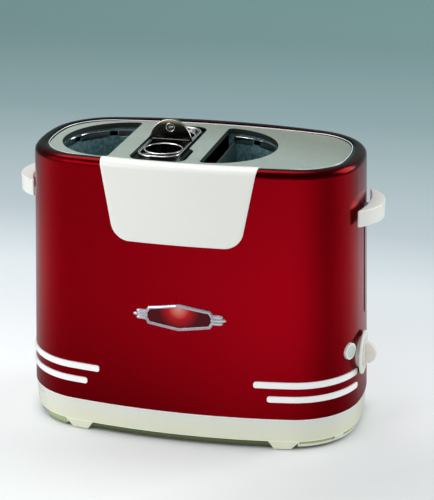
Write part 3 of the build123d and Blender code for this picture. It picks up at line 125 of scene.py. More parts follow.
# Cage with its two holes, and its tab with the direction square to it
CAGE_Y = 1.0 * MM
CAGE_HALF_WIDTH = 17.15 * MM
CAGE_HALF_LENGTH = 44.0 * MM
CAGE_ROUND = 14.0 * MM
HOLE_SPACING = 39.0 * MM
HOLE_RADIUS = 14.0 * MM
TAB_Y = 3.0 * MM
TAB_RADIUS = 17.2 * MM
TAB_HALF_THICKNESS = 0.6 * MM
SQUARE_TO_TAB = (0, 1.0, 0)

# Base: the skirt leans in from its top inset to its bottom inset, and its lower wall sits further in
SKIRT_BOTTOM = 7.5 * MM
SKIRT_TOP_INSET = 0.3 * MM
SKIRT_BOTTOM_INSET = 1.6 * MM
WALL_INSET = 1.3 * MM

# Stretches of the lower wall, skinned in painted light or painted shade: name, finish, first and last
# turn in degrees, lowest height in mm
WALL_STRIPS = (
    ("left_front_wall", "painted_light_cream", -41.5, -18.5, 1.0),
    ("front_wall", "painted_shade_cream", -17, 17, 2.8),
    ("right_front_wall", "painted_light_cream", 18.5, 100, 5.0),
    ("back_wall", "painted_shade_cream", 100.5, 197, 2.8),
    ("left_back_wall", "painted_light_cream", 198.5, 221.5, 1.0),
)

# Stop button, on the right front corner arc, its angle measured from +X
BUTTON_ANGLE = radians(24.5)
BUTTON_Z = 75.7 * MM
BUTTON_PROUD = 1.6 * MM


# Shapes


def places(x, y, z):
    """One array of points from three coordinates, each of which may be the same all along."""
    return np.stack(np.broadcast_arrays(x, y, z), -1)


def grow_at(z):
    """How far the flared body stands outside its rim outline at a height."""
    return FLARE * (RIM_TOP - z) / (RIM_TOP - SHELL_BOTTOM)


def half_depth(x, grow):
    """Distance from the middle plane to the body's side: the face arc, then the corner arc."""
    across = np.abs(x)
    face = FACE_CENTRE + np.sqrt((FACE_RADIUS + grow) ** 2 - across**2)
    corner_part = (CORNER_RADIUS + grow) ** 2 - (across - CORNER_X) ** 2
    corner = CORNER_Y + np.sqrt(np.clip(corner_part, 0, None))
    return np.where(across < (FACE_RADIUS + grow) * cos(FACE_ANGLE), face, corner)


def outline_at(turn, grow):
    """X and Y of the whole outline by the direction it faces: an arc's centre, and from there the
    arc's radius and the growth in that direction."""
    side, ahead = np.sin(turn), -np.cos(turn)
    arcs = [np.abs(side) < cos(FACE_ANGLE), np.abs(side) < cos(CORNER_ANGLE)]
    centre_x = np.select(arcs, [0, CORNER_X], END_CENTRE)
    centre_y = np.select(arcs, [FACE_CENTRE, CORNER_Y], 0)
    radius = grow + np.select(arcs, [FACE_RADIUS, CORNER_RADIUS], END_RADIUS)
    return np.sign(side) * centre_x + radius * side, np.sign(ahead) * centre_y + radius * ahead


def on_front(x, z, lift):
    """Points on the bowed front, raised from it by a lift."""
    return places(x, -half_depth(x, grow_at(z) + lift), z)


def grid_faces(rows, columns, closed_rows=False, closed_columns=False):
    """Quads of a grid of points, row by row, joined round where a direction is closed."""
    row = np.arange(rows if closed_rows else rows - 1)
    column = np.arange(columns if closed_columns else columns - 1)
    i, j = np.meshgrid(row, column, indexing="ij")
    i2, j2 = (i + 1) % rows, (j + 1) % columns
    quads = np.stack([i * columns + j, i * columns + j2, i2 * columns + j2, i2 * columns + j], -1)
    return quads.reshape(-1, 4).tolist()


def bar(points):
    """Points and faces of a solid bar: rows of one closed section each, with flat ends."""
    rows, columns = points.shape[:2]
    faces = grid_faces(rows, columns, closed_columns=True)
    faces.append(list(range(columns))[::-1])
    faces.append([(rows - 1) * columns + k for k in range(columns)])
    return points.reshape(-1, 3), faces


def tube(path, radius, sides=8, guide=None):
    """A round tube: a circle carried square to the path, with flat ends. The guide is a direction
    that the path never takes; without one it is upright, and sideways where the path climbs."""
    steep_share = 0.9
    path = np.asarray(path, float)
    ahead = np.gradient(path, axis=0)
    ahead /= np.linalg.norm(ahead, axis=1)[:, None]
    if guide is None:
        steep = np.abs(ahead[:, 2:3]) > steep_share
        guide = np.where(steep, [[1.0, 0, 0]], [[0, 0, 1.0]])
    across = np.cross(guide, ahead)
    across /= np.linalg.norm(across, axis=1)[:, None]
    up = np.cross(ahead, across)
    turn = np.linspace(0, 2 * pi, sides, endpoint=False)[None, :, None]
    circle = np.cos(turn) * across[:, None] + np.sin(turn) * up[:, None]
    return bar(path[:, None] + radius * circle)


def lathe(profile, centre, axis, sides):
    """A turned form: radius and height pairs spun about an axis from a centre, with flat ends."""
    profile = np.asarray(profile, float)[:, :, None, None]
    axis = np.asarray(axis, float) / np.linalg.norm(axis)
    across = np.cross(axis, [0, 0, 1.0])
    across /= np.linalg.norm(across)
    up = np.cross(axis, across)
    turn = np.linspace(0, 2 * pi, sides, endpoint=False)[:, None]
    circle = np.cos(turn) * across + np.sin(turn) * up
    return bar(np.asarray(centre) + profile[:, 0] * circle + profile[:, 1] * axis)


def joined(parts):
    """One list of points and one of faces from several."""
    points, faces, start = [], [], 0
    for some_points, some_faces in parts:
        points.append(some_points)
        faces.extend([[index + start for index in face] for face in some_faces])
        start += len(some_points)
    return np.concatenate(points), faces


def mesh_piece(name, shape, finish, body=None, crease=35):
    """A finished piece from points and faces: faces outwards, smooth but for edges sharper than the
    crease in degrees, at the origin, and riding on a body if one is named."""
    points, faces = shape
    mesh = bpy.data.meshes.new(name)
    mesh.from_pydata(points.tolist(), [], faces)
    form = bmesh.new()
    form.from_mesh(mesh)
    bmesh.ops.recalc_face_normals(form, faces=form.faces)
    form.to_mesh(mesh)
    form.free()
    mesh.polygons.foreach_set("use_smooth", np.ones(len(mesh.polygons), bool))
    mesh.set_sharp_from_angle(angle=radians(crease))
    mesh.materials.append(FINISHES[finish])
    piece = bpy.data.objects.new(name, mesh)
    bpy.context.scene.collection.objects.link(piece)
    if body:
        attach(piece, body)
    return piece


# Shader node groups


def new_group(name, inputs):
    """An empty shader node group with named number inputs and one output, called Value."""
    group = bpy.data.node_groups.new(name, "ShaderNodeTree")
    for label, default in inputs.items():
        socket = group.interface.new_socket(label, in_out="INPUT", socket_type="NodeSocketFloat")
        socket.default_value = default
    group.interface.new_socket("Value", in_out="OUTPUT", socket_type="NodeSocketFloat")
    given = group.nodes.new("NodeGroupInput")
    result = group.nodes.new("NodeGroupOutput")
    return group, given.outputs, result.inputs["Value"]


def split_place(tree):
    """Sockets X, Y and Z of the place in object space, in a material's or a group's tree."""
    place = tree.nodes.new("ShaderNodeTexCoord")
    split = tree.nodes.new("ShaderNodeSeparateXYZ")
    tree.links.new(place.outputs["Object"], split.inputs[0])
    return split.outputs


def worked_out(tree, operation, one, other):
    """What an operation gives for two number sockets."""
    node = tree.nodes.new("ShaderNodeMath")
    node.operation = operation
    tree.links.new(one, node.inputs[0])
    tree.links.new(other, node.inputs[1])
    return node.outputs[0]


def noise_group(name, scale, stretch):
    """Noise in object space, its fine scale along Y and Z and a stretch along X."""
    group, given, result = new_group(name, {"Scale": scale, "Stretch": stretch, "Detail": 2.0})
    link = group.links.new
    place = split_place(group)
    join = group.nodes.new("ShaderNodeCombineXYZ")
    noise = group.nodes.new("ShaderNodeTexNoise")
    link(worked_out(group, "DIVIDE", place["X"], given["Stretch"]), join.inputs["X"])
    link(place["Y"], join.inputs["Y"])
    link(place["Z"], join.inputs["Z"])
    link(join.outputs[0], noise.inputs["Vector"])
    link(given["Scale"], noise.inputs["Scale"])
    link(given["Detail"], noise.inputs["Detail"])
    link(noise.outputs["Fac"], result)


def height_group():
    """Share of the way up between a low and a high level."""
    group, given, result = new_group("height_share", {"Low": 0.0, "High": 1.0})
    link = group.links.new
    share = group.nodes.new("ShaderNodeMapRange")
    link(split_place(group)["Z"], share.inputs["Value"])
    link(given["Low"], share.inputs["From Min"])
    link(given["High"], share.inputs["From Max"])
    link(share.outputs["Result"], result)


def oval_group():
    """Distance in the front view from a centre, in units of a half width and a half height."""
    inputs = {"Centre X": 0.0, "Centre Z": 0.0, "Width": 1.0, "Height": 1.0}
    group, given, result = new_group("oval_distance", inputs)
    place = split_place(group)
    join = group.nodes.new("ShaderNodeCombineXYZ")
    for axis, size in (("X", "Width"), ("Z", "Height")):
        away = worked_out(group, "SUBTRACT", place[axis], given["Centre " + axis])
        share = worked_out(group, "DIVIDE", away, given[size])
        group.links.new(share, join.inputs[axis])
    length = group.nodes.new("ShaderNodeVectorMath")
    length.operation = "LENGTH"
    group.links.new(join.outputs[0], length.inputs[0])
    group.links.new(length.outputs["Value"], result)


def upward_group():
    """How far the surface faces up: one on top, nothing on a wall, less than nothing below."""
    group, _, result = new_group("upward_share", {})
    normal = group.nodes.new("ShaderNodeNewGeometry")
    split = group.nodes.new("ShaderNodeSeparateXYZ")
    group.links.new(normal.outputs["Normal"], split.inputs[0])
    group.links.new(split.outputs["Z"], result)


# Materials

# Middle of a noise's range, over which colours and gloss run
NOISE_LOW = 0.3
NOISE_HIGH = 0.7


class Finish:
    """A material in the making: one Principled shader and short ways to feed it."""

    def __init__(self, name, colour, metallic=0.0, roughness=0.4):
        self.material = bpy.data.materials.new(name)
        self.material.use_nodes = True
        self.nodes = self.material.node_tree.nodes
        self.link = self.material.node_tree.links.new
        self.shader = self.nodes["Principled BSDF"]
        self.set("Base Color", (*colour, 1))
        self.set("Metallic", metallic)
        self.set("Roughness", roughness)

    def set(self, label, value):
        """Sets one of the shader's own sockets."""
        self.shader.inputs[label].default_value = value

    def group(self, name, **values):
        """Places a node group with its own values and gives its output."""
        node = self.nodes.new("ShaderNodeGroup")
        node.node_tree = bpy.data.node_groups[name]
        for label, value in values.items():
            node.inputs[label.replace("_", " ").title()].default_value = value
        return node.outputs["Value"]

    def spread(self, source, low, high, target):
        """Feeds a number socket from low to high as a noise runs over the middle of its range."""
        node = self.nodes.new("ShaderNodeMapRange")
        node.inputs["From Min"].default_value = NOISE_LOW
        node.inputs["From Max"].default_value = NOISE_HIGH
        node.inputs["To Min"].default_value = low
        node.inputs["To Max"].default_value = high
        self.link(source, node.inputs["Value"])
        self.link(node.outputs["Result"], self.shader.inputs[target])

    def colour(self, source):
        """Feeds the base colour from a socket."""
        self.link(source, self.shader.inputs["Base Color"])

    def bump(self, source, distance):
        """Feeds the normal from a height, over a distance in metres."""
        node = self.nodes.new("ShaderNodeBump")
        node.inputs["Distance"].default_value = distance
        self.link(source, node.inputs["Height"])
        self.link(node.outputs["Normal"], self.shader.inputs["Normal"])

    def ramp(self, source, stops):
        """A number or colour ramp along a source, from (position, value or colour) stops."""
        node = self.nodes.new("ShaderNodeValToRGB")
        elements = node.color_ramp.elements
        halfway = 0.5
        while len(elements) < len(stops):
            elements.new(halfway)
        for element, (position, value) in zip(elements, stops):
            element.position = position
            element.color = (*np.broadcast_to(value, 3), 1)
        self.link(source, node.inputs["Fac"])
        return node.outputs["Color"]

    def vector(self, operation, one, other=None, result=0):
        """What an operation gives for one or two colours, places or directions, each a socket or a
        plain triple."""
        node = self.nodes.new("ShaderNodeVectorMath")
        node.operation = operation
        for source, socket in zip((one, other), node.inputs):
            if isinstance(source, tuple):
                socket.default_value = source
            elif source is not None:
                self.link(source, socket)
        return node.outputs[result]

    def multiply(self, one, other):
        """The product of two colours."""
        return self.vector("MULTIPLY", one, other)

    def dot(self, one, other):
        """How far one direction or place goes along another."""
        return self.vector("DOT_PRODUCT", one, other, "Value")

    def place(self):
        """The place in object space."""
        return self.nodes.new("ShaderNodeTexCoord").outputs["Object"]

    def outward(self):
        """A half on top, more where the surface faces away from the body's middle, less towards it."""
        per_metre, on_top = 10.0, 0.5
        normal = self.nodes.new("ShaderNodeNewGeometry").outputs["Normal"]
        level = self.multiply(self.place(), (1.0, 1.0, 0.0))
        node = self.nodes.new("ShaderNodeMath")
        node.operation = "MULTIPLY_ADD"
        self.link(self.dot(level, normal), node.inputs[0])
        node.inputs[1].default_value = per_metre
        node.inputs[2].default_value = on_top
        return node.outputs[0]


def shades(colour, low_share, high_share):
    """Two stops of one colour, darker and lighter by shares."""
    return [
        (NOISE_LOW, tuple(min(1.0, channel * low_share) for channel in colour)),
        (NOISE_HIGH, tuple(min(1.0, channel * high_share) for channel in colour)),
    ]


def brushed_metal(name, colour, roughness, metallic=1.0, stretch=30.0, depth=0.003 * MM):
    """Plated, rolled or brushed metal: straight grain in the colour and uneven gloss."""
    finish = Finish(name, colour, metallic=metallic, roughness=roughness)
    grain = finish.group("grain", scale=600.0, stretch=stretch)
    gloss = finish.group("speckle", scale=300.0)
    finish.colour(finish.ramp(grain, shades(colour, 0.95, 1.04)))
    finish.spread(gloss, roughness * 0.9, roughness * 1.1, "Roughness")
    finish.bump(grain, depth)
    return finish


def moulded_plastic(name, colour, roughness, depth=0.006 * MM):
    """Smooth moulding: a faint cloud in the colour, uneven gloss and a very fine skin."""
    finish = Finish(name, colour, roughness=roughness)
    cloud = finish.group("speckle", scale=9.0)
    gloss = finish.group("speckle", scale=40.0)
    finish.colour(finish.ramp(cloud, shades(colour, 0.99, 1.01)))
    finish.spread(gloss, roughness - 0.01, roughness + 0.01, "Roughness")
    finish.bump(finish.group("speckle", scale=60.0), depth)
    return finish


def red_paint(colour):
    """Metallic paint: fine flake in the colour, faint orange peel and uneven gloss. The rim's rounds
    carry painted shade, darker than the body, and darkest on their inner side."""
    finish = Finish("red_paint", colour, metallic=1.0, roughness=0.25)
    flake = finish.ramp(finish.group("speckle", scale=2600.0), shades(colour, 0.84, 1.16))
    # Painted shade: the rim's rounds darkened by how far they face up, standing in for the shade and
    # dark reflections on them
    rounds = finish.ramp(finish.group("upward_share"), [
        (0.08, 1.0), (0.3, 0.35), (0.7, 0.32), (0.95, 0.8),
    ])
    # Painted shade inside the rim: darkest where the surface faces the body's middle
    inner = finish.ramp(finish.outward(), [
        (0.3, 0.04), (0.45, 0.08), (0.55, 0.3), (0.85, 0.6), (0.95, 1.0),
    ])
    finish.colour(finish.multiply(flake, finish.multiply(rounds, inner)))
    finish.spread(finish.group("speckle", scale=14.0), 0.21, 0.25, "Roughness")
    finish.bump(finish.group("speckle", scale=420.0), 0.01 * MM)
    return finish


def satin_sheet(colour):
    """Satin plate with fine straight grain, with painted shade that makes it dimmer towards its back
    right and keeps its turned-down lips in the dark."""
    finish = brushed_metal("satin_plate", colour, 0.42, metallic=0.8, stretch=60.0, depth=0.006 * MM)
    grain = finish.ramp(finish.group("grain", scale=600.0, stretch=60.0), shades(colour, 0.97, 1.03))
    # Painted shade on the turned-down lips: dark where the surface faces less upward
    lips = finish.ramp(finish.group("upward_share"), [(0.3, (0.12, 0.14, 0.15)), (0.7, (1.0, 1.0, 1.0))])
    back_right = finish.dot(finish.place(), (3.0, 9.0, 0.0))
    # Painted shade towards the back right
    dimmer = finish.ramp(back_right, [(0.0, (1.0, 1.0, 1.0)), (0.5, (0.78, 0.74, 0.7))])
    finish.colour(finish.multiply(finish.multiply(grain, lips), dimmer))
    return finish


def hammered_sheet(colour):
    """Aluminised reflector with the small dents and mottled sheen of a hammered sheet, tinted teal as a
    painted reflection of the backdrop.
    """
    finish = Finish("reflector", colour, metallic=0.5, roughness=0.4)
    dents = finish.group("speckle", scale=330.0, detail=2.0)
    finish.colour(finish.ramp(dents, shades(colour, 0.55, 1.5)))
    finish.spread(finish.group("speckle", scale=40.0), 0.34, 0.46, "Roughness")
    finish.bump(dents, 0.12 * MM)
    return finish


def tab_steel_painted_light():
    """Dark polished tab whose darkness is a painted reflection, with a warm painted highlight on its
    rolled top.
    """
    finish = brushed_metal("tab_steel_painted_light", (0.05, 0.046, 0.04), 0.2, depth=0.002 * MM)
    height = finish.group("height_share", low=236.0 * MM, high=241.0 * MM)
    # Painted reflection and highlight: dark low down, warm towards the rolled top
    finish.colour(finish.ramp(height, [
        (0.0, (0.045, 0.042, 0.038)), (0.35, (0.1, 0.085, 0.055)), (1.0, (0.62, 0.52, 0.3)),
    ]))
    return finish


def cream_moulding(low_colour, high_colour):
    """Slightly translucent moulding, warmer towards the foot of the skirt, with a painted highlight line
    along the skirt's lower and upper edge."""
    finish = moulded_plastic("cream_plastic", low_colour, 0.3)
    height = finish.group("height_share", low=0.0, high=SHELL_BOTTOM)
    # The light stops at 0.285 and 0.98 are painted highlight lines along the skirt's edges
    finish.colour(finish.ramp(height, [
        (0.27, low_colour), (0.285, (0.98, 1.0, 0.88)), (0.31, low_colour),
        (0.96, high_colour), (0.98, (1.0, 0.98, 0.96)),
    ]))
    finish.set("Subsurface Weight", 0.25)
    finish.set("Subsurface Scale", 3.0 * MM)
    return finish


def mineral_board(colour):
    """Mottled mica with a flaky skin."""
    finish = Finish("mica_board", colour, roughness=0.55)
    flakes = finish.group("speckle", scale=220.0, detail=4.0)
    finish.colour(finish.ramp(flakes, shades(colour, 0.7, 1.25)))
    finish.bump(flakes, 0.04 * MM)
    return finish


def enamel_with_painted_sheen():
    """Glossy badge enamel with a painted sheen: pink a little above the middle, then red, and nearly
    black at the ends.
    """
    rise, half_width, half_height = 8.0 * MM, 24.0 * MM, 26.0 * MM
    finish = Finish("badge_enamel", (0.3, 0.004, 0.008), roughness=0.12)
    away = finish.group(
        "oval_distance", centre_x=BADGE_X, centre_z=BADGE_Z + rise, width=half_width, height=half_height
    )
    # Painted sheen: pink where the highlight would fall, fading to nearly black at the ends
    finish.colour(finish.ramp(away, [
        (0.0, (0.72, 0.27, 0.23)), (0.22, (0.6, 0.1, 0.08)), (0.36, (0.42, 0.008, 0.012)),
        (0.56, (0.2, 0.004, 0.008)), (0.7, (0.07, 0.003, 0.006)),
    ]))
    finish.bump(finish.group("speckle", scale=300.0), 0.004 * MM)
    finish.set("Specular IOR Level", 0.12)
    return finish


def make_finishes(settings):
    """A material for each of the record's slots, each node that has its own, and the new pieces."""
    finishes = {
        "red_shell": red_paint(tuple(settings.red_colour)),
        "satin_plate": satin_sheet(tuple(settings.plate_colour)),
        "white_plastic": moulded_plastic("white_plastic", tuple(settings.white_colour), 0.25),
        "cream_plastic": cream_moulding(tuple(settings.cream_colour), (0.76, 0.775, 0.71)),
        # Olive copies of the cream, lit and in shade: painted light on the lower wall
        "painted_light_cream": moulded_plastic("painted_light_cream", (0.42, 0.5, 0.27), 0.5),
        # Near white and mostly matt, so the plate's edge bead shows a painted highlight line
        "plate_bead_painted_highlight": brushed_metal("plate_bead_painted_highlight", (0.95, 0.95, 0.95), 0.3, metallic=0.3),
        # Painted shade for the lower wall where it lies in shadow
        "painted_shade_cream": moulded_plastic("painted_shade_cream", (0.1, 0.125, 0.045), 0.5),
        "timer_knob": moulded_plastic("knob_plastic", (0.86, 0.82, 0.74), 0.3),
        "chrome_trim": brushed_metal(
            "chrome_trim", (0.88, 0.85, 0.92), 0.12, metallic=0.72, depth=0.001 * MM
        ),
        "red_enamel": enamel_with_painted_sheen(),
        "soft_pad": moulded_plastic("soft_pad", (0.03, 0.03, 0.03), 0.8, depth=0.03 * MM),
        "plain_sheet": brushed_metal("plain_sheet", (0.42, 0.45, 0.46), 0.34),
        # Teal tint: painted reflection of the grey-green backdrop
        "reflector": hammered_sheet((0.2, 0.38, 0.4)),
        "tab_eyelet": brushed_metal("eyelet_steel", (0.07, 0.065, 0.06), 0.2),
        # Light and mostly diffuse, so that the beads and wires along edges show painted highlight lines
        "wire_steel": brushed_metal("wire_steel", (0.85, 0.85, 0.83), 0.15, metallic=0.75),
        "polished_steel": brushed_metal("polished_steel", (0.7, 0.7, 0.68), 0.06, depth=0.001 * MM),
        "lift_tab": tab_steel_painted_light(),
        # Darkened as a painted reflection of a dark room
        "cage_rim": brushed_metal("rim_steel_painted_reflection", (0.34, 0.34, 0.33), 0.08, depth=0.001 * MM),
        "cage_guard": brushed_metal("guard_sheet", (0.05, 0.055, 0.06), 0.4),
        "mica": mineral_board((0.36, 0.31, 0.24)),
        "ribbon": brushed_metal("heating_ribbon", (0.34, 0.31, 0.27), 0.45),
        "circuit_board": moulded_plastic("circuit_board", (0.02, 0.12, 0.05), 0.4),
        "dark_plastic": moulded_plastic("dark_plastic", (0.02, 0.02, 0.02), 0.45),
        "copper_coil": brushed_metal("copper_coil", (0.6, 0.25, 0.12), 0.3),
        "screw_steel": brushed_metal("screw_steel", (0.5, 0.5, 0.5), 0.3),
        "button_tint": moulded_plastic("button_tint", tuple(settings.button_colour), 0.3),
    }
    trim = moulded_plastic("trim_plastic", (0.97, 0.97, 0.95), 0.2)
    for side in ("left", "right"):
        for level in ("upper", "lower"):
            finishes[f"{side}_{level}_trim"] = trim
    return {name: finish.material for name, finish in finishes.items()}


# Materials by slot, node or new piece, made by the first operator
FINISHES = {}


# Settings


def colour_setting(name, description, default):
    """A property that holds a colour."""
    return bpy.props.FloatVectorProperty(
        name=name, description=description, subtype="COLOR", default=default
    )


class ToasterSettings(bpy.types.PropertyGroup):
    """Colours and sizes of the looks."""

    red_colour: colour_setting("Red", "Colour of the metallic paint", (0.4, 0.0012, 0.008))
    plate_colour: colour_setting("Plate", "Colour of the satin plate", (0.7, 0.75, 0.67))
    white_colour: colour_setting("White", "Colour of the white mouldings", (0.85, 0.845, 0.79))
    cream_colour: colour_setting("Cream", "Colour of the base's lower edge", (0.79, 0.8, 0.62))
    button_colour: colour_setting("Button", "Colour of the button's middle", (0.58, 0.66, 0.62))
    apron_thickness: bpy.props.FloatProperty(
        name="Apron thickness",
        description="Thickness of the apron's sheet",
        default=1.1 * MM,
        unit="LENGTH",
    )
    coil_wire: bpy.props.FloatProperty(
        name="Spring wire",
        description="Wire diameter of the return spring",
        default=0.9 * MM,
        unit="LENGTH",
    )
    coil_turns: bpy.props.IntProperty(
        name="Spring turns",
        description="Number of turns of the return spring",
        default=34,
        min=3,
    )


# Pieces


class TOASTER_OT_finishes(bpy.types.Operator):
    """Give every part of the frame its material"""

    bl_idname = "toaster.finishes"
    bl_label = "Finishes"

    def execute(self, context):
        noise_group("speckle", scale=900.0, stretch=1.0)
        noise_group("grain", scale=600.0, stretch=30.0)
        height_group()
        oval_group()
        upward_group()
        FINISHES.update(make_finishes(context.scene.toaster_settings))
        for row in frame["record"]["subparts"]:
            node = frame["nodes"][row["node"]]
            node.data.materials.clear()
            node.data.materials.append(FINISHES.get(row["node"], FINISHES[row["material_slot"]]))
        return {"FINISHED"}


class TOASTER_OT_apron(bpy.types.Operator):
    """Fold the white apron over the front rim, with round lower corners"""

    bl_idname = "toaster.apron"
    bl_label = "Apron"

    def execute(self, context):
        """A row for each step of the section, cut into equal shares of the width at its height."""
        columns, edge_round = 41, 0.3 * MM
        offset, z = self.fold()
        x = APRON_X + self.half_width(z)[:, None] * np.linspace(-1, 1, columns)
        y = -half_depth(x, offset[:, None])
        sheet = places(x, y, z[:, None]).reshape(-1, 3), grid_faces(*x.shape)
        apron = mesh_piece("apron_sheet", sheet, "white_plastic", "body")
        wall = apron.modifiers.new("wall", "SOLIDIFY")
        wall.thickness = context.scene.toaster_settings.apron_thickness
        edge = apron.modifiers.new("edge", "BEVEL")
        edge.width = edge_round
        edge.segments = 2
        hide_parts("front_apron")
        return {"FINISHED"}

    def fold(self):
        """Offset from the rim outline and height along the sheet's section: up the inside of the
        rim, over its two rounds and down the flared front, closer together at the bottom."""
        round_steps, face_steps = 12, 40
        quarter = np.linspace(0, pi / 2, round_steps)
        inner = RIM_INNER_ROUND + APRON_PROUD
        outer = RIM_OUTER_ROUND + APRON_PROUD
        inner_z = RIM_TOP - RIM_INNER_ROUND
        outer_z = RIM_TOP - RIM_OUTER_ROUND
        face_z = APRON_BOTTOM + (outer_z - APRON_BOTTOM) * np.linspace(1, 0, face_steps)[1:] ** 2
        offset = np.concatenate([
            [-RIM_WIDTH - APRON_PROUD],
            RIM_INNER_ROUND - RIM_WIDTH - inner * np.cos(quarter),
            grow_at(outer_z) - RIM_OUTER_ROUND + outer * np.sin(quarter),
            grow_at(face_z) + APRON_PROUD,
        ])
        z = np.concatenate([
            [RIM_TOP - APRON_INNER_DROP],
            inner_z + inner * np.sin(quarter),
            outer_z + outer * np.cos(quarter),
            face_z,
        ])
        return offset, z

    def half_width(self, z):
        """Half of the sheet's width at a height: the slanted side, then the round corner."""
        lean = atan(APRON_SLOPE)
        round_z = APRON_BOTTOM + APRON_ROUND
        round_x = self.side_x(round_z) - APRON_ROUND / cos(lean)
        corner = round_x + np.sqrt(np.clip(APRON_ROUND**2 - (z - round_z) ** 2, 0, None))
        return np.where(z < round_z - APRON_ROUND * sin(lean), corner, self.side_x(z))

    def side_x(self, z):
        """Half width of the slanted side, carried on past the corner."""
        return APRON_SIDE_X + APRON_SLOPE * (z - APRON_SIDE_Z)


class TOASTER_OT_badge(bpy.types.Operator):
    """Raise the badge's bevelled frame and its ribbed wings"""

    bl_idname = "toaster.badge"
    bl_label = "Badge"

    def execute(self, context):
        parts = [self.frame_shape()]
        for side in (-1, 1):
            for rib in (-1, 0, 1):
                parts.append(self.rib_shape(side, rib))
        badge = mesh_piece("badge_frame", joined(parts), "chrome_trim", "body", crease=14)
        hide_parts("badge_bezel")
        return {"FINISHED"}

    def frame_shape(self):
        """The outline's corners moved inwards along their mitres by each step of the section, every
        side cut into short lengths, and each point laid on the bowed front at the section's height."""
        lengths = 8
        section = np.array(BADGE_SECTION) * MM
        half = np.array(BADGE_CORNERS) * MM
        corners = np.concatenate([half, -half])
        ahead = np.roll(corners, -1, 0) - corners
        inward = np.stack([-ahead[:, 1], ahead[:, 0]], 1) / np.linalg.norm(ahead, axis=1)[:, None]
        before = np.roll(inward, 1, 0)
        mitre = (inward + before) / (1 + np.sum(inward * before, 1))[:, None]
        rings = corners[:, None] + section[None, :, :1] * mitre[:, None]
        share = np.linspace(0, 1, lengths, endpoint=False)[None, :, None, None]
        sides = rings[:, None] * (1 - share) + np.roll(rings, -1, 0)[:, None] * share
        flat = sides.reshape(-1, len(section), 2)
        points = on_front(BADGE_X + flat[..., 0], BADGE_Z + flat[..., 1], section[None, :, 1])
        faces = grid_faces(len(flat), len(section), closed_rows=True, closed_columns=True)
        return points.reshape(-1, 3), faces

    def rib_shape(self, side, rib):
        """A half-round bar that runs out from the frame, its height and width falling to nearly
        nothing over the last stretch as an ellipse does. The middle rib reaches the furthest."""
        root, pitch, sunk = 25.0 * MM, 2.7 * MM, 0.1 * MM
        half_height, height = 1.45 * MM, 1.4 * MM
        middle_tip, step_back, closing = 37.0 * MM, 2.6 * MM, 2.5 * MM
        length_steps, round_steps, nearly_closed_share = 24, 12, 0.995
        tip = middle_tip - step_back * abs(rib)
        reach = root + (tip - root) * np.sin(np.linspace(0, pi / 2, length_steps))[:, None]
        close = np.clip((reach - tip + closing) / closing, 0, nearly_closed_share)
        taper = np.sqrt(1 - close**2)
        turn = np.linspace(0, pi, round_steps)[None, :]
        z = BADGE_Z + rib * pitch + half_height * taper * np.cos(turn)
        return bar(on_front(BADGE_X + side * reach, z, sunk + height * taper * np.sin(turn)))


class TOASTER_OT_well_bands(bpy.types.Operator):
    """Roll the bright band round the top of each well, between its air holes"""

    bl_idname = "toaster.well_bands"
    bl_label = "Well bands"

    def execute(self, context):
        """Each band is a half oval in section, carried along the arc from one hole to the next."""
        hole_edge, clear, thickness, half_height = 0.5 * MM, 0.02 * MM, 0.7 * MM, 3.2 * MM
        length_steps, round_steps = 24, 10
        half_hole = (VENT_WIDTH / 2 + hole_edge) / WELL_RADIUS
        ends = [radians(angle) for angle in (-90, *VENT_ANGLES, 90)]
        curl = np.linspace(0, pi, round_steps)[None, :]
        radius = WELL_RADIUS - clear - thickness * np.sin(curl)
        z = WELL_TOP - VENT_DROP + half_height * np.cos(curl)
        parts = []
        for side in (-1, 1):
            for start, end in zip(ends, ends[1:]):
                turn = np.linspace(start + half_hole, end - half_hole, length_steps)[:, None]
                x = GROUP_X + side * (STRAIGHT_OFFSET + radius * np.cos(turn))
                parts.append(bar(places(x, radius * np.sin(turn), z)))
        mesh_piece("well_bands", joined(parts), "polished_steel", "body")
        return {"FINISHED"}


class TOASTER_OT_lower_wall(bpy.types.Operator):
    """Lay olive skins of painted light and painted shade on the base's lower wall, from one end of the
    tray round to the other
    """

    bl_idname = "toaster.lower_wall"
    bl_label = "Lower wall"

    def execute(self, context):
        """Each skin follows the outline, shrunk to the wall's lean, in steps of about a degree."""
        proud, thickness = 0.1 * MM, 0.15 * MM
        lean = (SKIRT_BOTTOM_INSET - SKIRT_TOP_INSET) / (SHELL_BOTTOM - SKIRT_BOTTOM)
        for name, finish, start, end, low in WALL_STRIPS:
            turn = np.radians(np.linspace(start, end, 2 + int(end - start)))[:, None]
            z = np.array([low * MM, SKIRT_BOTTOM])
            grow = FLARE - SKIRT_TOP_INSET - lean * (SHELL_BOTTOM - z) - WALL_INSET
            x, y = outline_at(turn, grow[None, :] + proud)
            strip = places(x, y, z).reshape(-1, 3), grid_faces(*x.shape)
            wall = mesh_piece(name, strip, finish, "body")
            skin = wall.modifiers.new("skin", "SOLIDIFY")
            skin.thickness = thickness
        return {"FINISHED"}


